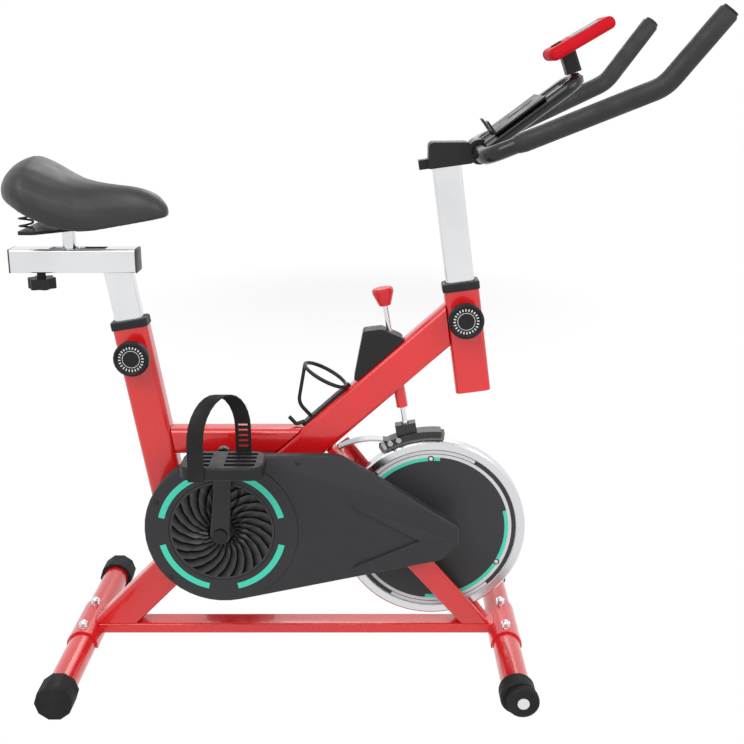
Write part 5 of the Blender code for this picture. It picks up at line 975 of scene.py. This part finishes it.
drum_face = face_y - DRUM_RISE
bolt_dark = surface("blackened_screw", (0.003, 0.003, 0.003), roughness=0.25, grain=(800, 0.00005))
on_shoulder = Vector((-0.0722, 0, 0.3840))
slope = Vector((shoulder_normal.x, 0, shoulder_normal.z))
on_shoulder.y = face_y - (on_shoulder - crease).dot(slope) / shoulder_normal.y
SCREWS = (
    (Vector((-0.3140, drum_face, 0.3150)), forwards),
    (Vector((-0.2957, drum_face, 0.1752)), forwards),
    (on_shoulder, shoulder_normal),
)
for i, (seat, outwards) in enumerate(SCREWS):
    piece = screw(f"guard_screw_{i + 1}", seat + outwards * HEAD_RISE, outwards)
    coat(bolt_dark, piece)
    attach(piece, "frame")
print("guard screws on the drum at", round(drum_face, 4))

# %% [markdown]
# ## Flywheel rivets
# Two pale rivets stand on the wheel's face just inside its rim. Each is a small sphere whose hidden half is
# bisected away, which leaves an even dome with its flat side just under the face.

# %% Set the rivets
WEB_HALF = 0.011
RIVET_HEAD = 0.0036
RIVET_SINK = 0.0006
DOME_ANGLE = math.radians(50)
web_face = axle.y - WEB_HALF
pale = surface("pale_rivet", (0.78, 0.78, 0.76), roughness=0.4, grain=(600, 0.00004))
for i, turn in enumerate(RIVET_ANGLES):
    at = on_wheel(turn)
    deselect()
    bpy.ops.mesh.primitive_uv_sphere_add(segments=20, ring_count=10, radius=RIVET_HEAD,
                                         location=(at.x, web_face, at.z))
    piece = settle(f"wheel_rivet_{i + 1}")
    bpy.ops.object.mode_set(mode="EDIT")
    bpy.ops.mesh.select_all(action="SELECT")
    bpy.ops.mesh.bisect(plane_co=(0, web_face + RIVET_SINK, 0), plane_no=-forwards, use_fill=True,
                        clear_outer=True)
    bpy.ops.object.mode_set(mode="OBJECT")
    soften(piece, DOME_ANGLE)
    coat(pale, piece)
    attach(piece, "flywheel")
print("rivets on the face at", round(web_face, 4))

# %% [markdown]
# ## Console
# The console is a red pebble of a moulding, far rounder than its solid: a cube with all its edges bevelled
# wide. A recess for the window and a well for the button are cut from it with Booleans. It is modelled
# level, where sizes are easy to read, and then set to the console's tilt.

# %% Model the console
CONSOLE_TILT = math.radians(30)
CONSOLE_SIZE = (0.112, 0.090, 0.020)
CONSOLE_ROUND = 0.0088
CONSOLE_ANGLE = math.radians(30)
SCREEN_SIZE = (0.052, 0.064)
SCREEN_FORWARD = 0.014
RECESS_DEPTH = 0.0016
BUTTON_BACK = -0.034
WELL_RADIUS = 0.0095
WELL_DEPTH = 0.012
console_low, console_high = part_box("console")
console_middle = (console_low + console_high) / 2
half_depth = CONSOLE_SIZE[2] / 2
console_place = Matrix.Translation(console_middle) @ Matrix.Rotation(-CONSOLE_TILT, 4, "Y")


def slab(name, size, middle):
    """A cube with its size and place in its mesh."""
    deselect()
    bpy.ops.mesh.primitive_cube_add(size=1, location=middle)
    bpy.context.object.scale = size
    return settle(name)


pebble = slab("console_shell", CONSOLE_SIZE, (0, 0, 0))
apply(pebble, "BEVEL", width=CONSOLE_ROUND, segments=6, limit_method="ANGLE")
carve(pebble, slab("recess", (*SCREEN_SIZE, RECESS_DEPTH), (SCREEN_FORWARD, 0, half_depth)))
deselect()
well_middle = (BUTTON_BACK, 0, half_depth)
bpy.ops.mesh.primitive_cylinder_add(vertices=32, radius=WELL_RADIUS, depth=WELL_DEPTH, location=well_middle)
carve(pebble, bpy.context.object)
pebble.data.transform(console_place)
soften(pebble, CONSOLE_ANGLE)
shell = surface("red_console_moulding", (0.62, 0.010, 0.020), roughness=0.6, grain=(1000, 0.00010),
                shade=0.88, specular=0.06)
coat(shell, pebble)
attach(pebble, "handlebar")
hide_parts("console")
print("console faces:", len(pebble.data.polygons))

# %% [markdown]
# The dark window is a thin slab with softened edges that lies in the recess with a little room all round.
# It is a piece of its own, so its gloss can differ from the shell's.

# %% Fit the window
WINDOW_CLEARANCE = 0.0008
WINDOW_DEPTH = 0.0012
WINDOW_SINK = 0.0002
WINDOW_EDGE = 0.0004
window_size = (SCREEN_SIZE[0] - WINDOW_CLEARANCE, SCREEN_SIZE[1] - WINDOW_CLEARANCE, WINDOW_DEPTH)
window = slab("console_window", window_size, (SCREEN_FORWARD, 0, half_depth - WINDOW_SINK))
apply(window, "BEVEL", width=WINDOW_EDGE, segments=2, limit_method="ANGLE")
window.data.transform(console_place)
glass = surface("window_plastic", (0.012, 0.014, 0.016), roughness=0.3, grain=(300, 0.00002), specular=0.06)
coat(glass, window)
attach(window, "handlebar")
print("window at", [round(v, 4) for v in console_middle])

# %% [markdown]
# ## Slide ends
# A grey plastic plug closes each end of the chrome slide. Its flange is a thin cube whose outer face is
# inset and drawn out a little, as a moulded plug's is, and a bevel then softens every edge.

# %% Plug the slide
FLANGE = 0.0024
FLANGE_SIDE = 0.0396
FLANGE_GAP = 0.0002
FLANGE_RIM = 0.004
FLANGE_RISE = 0.0012
FLANGE_EDGE = 0.0009
slide_low, slide_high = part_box("slide_housing")
slide_middle = (slide_low + slide_high) / 2
plug_grey = surface("slide_plug", (0.055, 0.055, 0.058), roughness=0.45, grain=(900, 0.00010), specular=0.3)
for end, sign, side in ((slide_low.x, -1, "rear"), (slide_high.x, 1, "front")):
    middle = (end + sign * (FLANGE / 2 + FLANGE_GAP), 0, slide_middle.z)
    piece = slab("slide_plug_" + side, (FLANGE, FLANGE_SIDE, FLANGE_SIDE), middle)
    face_towards(piece, (sign, 0, 0))
    bpy.ops.mesh.inset(thickness=FLANGE_RIM)
    bpy.ops.transform.translate(value=(sign * FLANGE_RISE, 0, 0))
    bpy.ops.object.mode_set(mode="OBJECT")
    apply(piece, "BEVEL", width=FLANGE_EDGE, segments=2, limit_method="ANGLE")
    soften(piece, EDGE_ANGLE)
    coat(plug_grey, piece)
    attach(piece, body_of(nodes["slide_housing"])[0])
print("slide plugged at", round(slide_low.x, 4), round(slide_high.x, 4))

# %% [markdown]
# ## Studio
# The bike stands on a plain pale floor that fades to white. The fade is measured from the floor's own
# middle, well behind the bike, which leaves a faint shade in the distance and clean white round the feet.
# The white is a glow that only the camera and mirror-like surfaces see, so it lights nothing.

# %% Lay the floor
FLOOR_SIZE = 14
FLOOR_BACK = 3
MIDDLE_WHITE = 0.8
FADE_START, FADE_END = 0.35, 1.1
deselect()
bpy.ops.mesh.primitive_plane_add(size=FLOOR_SIZE, location=(0, FLOOR_BACK, 0))
floor = bpy.context.object
floor.name = "studio_floor"
ground = Network("pale_floor")
ground.shader.inputs["Roughness"].default_value = 0.6
ground.shader.inputs["Base Color"].default_value = (0.92, 0.92, 0.92, 1)
ground.shader.inputs["Specular IOR Level"].default_value = 0.2
x, y, _ = ground.axes_from((0, 0, 0))
reach = ground.math("SQRT", ground.squares(x, y))
fade = ground.spread(reach, MIDDLE_WHITE, 1.0, FADE_START, FADE_END)
path = ground.node("ShaderNodeLightPath")
seen = ground.math("MAXIMUM", path.outputs["Is Camera Ray"], path.outputs["Is Glossy Ray"])
white = ground.node("ShaderNodeEmission")
blend = ground.node("ShaderNodeMixShader")
output = ground.tree.nodes["Material Output"]
ground.feed(blend.inputs[0], ground.math("MULTIPLY", fade, seen))
ground.feed(blend.inputs[1], ground.shader.outputs[0])
ground.feed(blend.inputs[2], white.outputs[0])
ground.feed(output.inputs["Surface"], blend.outputs[0])
coat(ground, floor)
print("floor fades to white between", FADE_START, "and", FADE_END, "m from its middle")

# %% [markdown]
# The world fills every side evenly. The camera and mirror-like surfaces see it at full white, but it lights
# the bike at half that strength, so that the lamps still give the forms their light and dark sides.

# %% Light the world
WORLD_STRENGTH = 0.5
world = bpy.data.worlds.new("studio_world")
bpy.context.scene.world = world
world.use_nodes = True
sky = world.node_tree
background = sky.nodes["Background"]
background.inputs["Strength"].default_value = WORLD_STRENGTH
seen_white = sky.nodes.new("ShaderNodeBackground")
seen_white.inputs["Strength"].default_value = 1.0
for shade_node in (background, seen_white):
    shade_node.inputs["Color"].default_value = (1, 1, 1, 1)
light_path = sky.nodes.new("ShaderNodeLightPath")
straight = sky.nodes.new("ShaderNodeMath")
straight.operation = "MAXIMUM"
sky.links.new(light_path.outputs["Is Camera Ray"], straight.inputs[0])
sky.links.new(light_path.outputs["Is Glossy Ray"], straight.inputs[1])
sky_mix = sky.nodes.new("ShaderNodeMixShader")
sky.links.new(straight.outputs[0], sky_mix.inputs[0])
sky.links.new(background.outputs[0], sky_mix.inputs[1])
sky.links.new(seen_white.outputs[0], sky_mix.inputs[2])
sky.links.new(sky_mix.outputs[0], sky.nodes["World Output"].inputs["Surface"])
print("world strength:", WORLD_STRENGTH)

# %% [markdown]
# One large soft lamp hangs above and in front, a weaker one stands on the other side, and a third behind
# picks out the edges. The camera stands where the photograph's did: its height, tilt and lens were solved
# from the picture.

# %% Hang the lamps and set the camera
EYE = (0.0533, -1.8074, 1.0297)
EYE_TILT = math.radians(74.31)
LENS = 52.59


def lamp(name, place, target, size, watts):
    data = bpy.data.lights.new(name, "AREA")
    data.size = size
    data.energy = watts
    thing = bpy.data.objects.new(name, data)
    bpy.context.scene.collection.objects.link(thing)
    thing.location = place
    thing.rotation_euler = (Vector(target) - Vector(place)).to_track_quat("-Z", "Y").to_euler()


lamp("key", place=(-1.2, -2.2, 2.9), target=(0, 0, 0.5), size=2.2, watts=62)
lamp("fill", place=(1.9, -1.6, 1.9), target=(0, 0, 0.5), size=1.6, watts=22)
lamp("back", place=(0.4, 2.2, 2.4), target=(0, 0, 0.6), size=1.8, watts=26)

camera = bpy.data.cameras.new("photo_camera")
camera.sensor_fit = "HORIZONTAL"
camera.sensor_width = 36
camera.lens = LENS
eye = bpy.data.objects.new("photo_camera", camera)
bpy.context.scene.collection.objects.link(eye)
eye.location = EYE
eye.rotation_euler = (EYE_TILT, 0, 0)
bpy.context.scene.camera = eye
print("camera at", [round(v, 3) for v in eye.location])
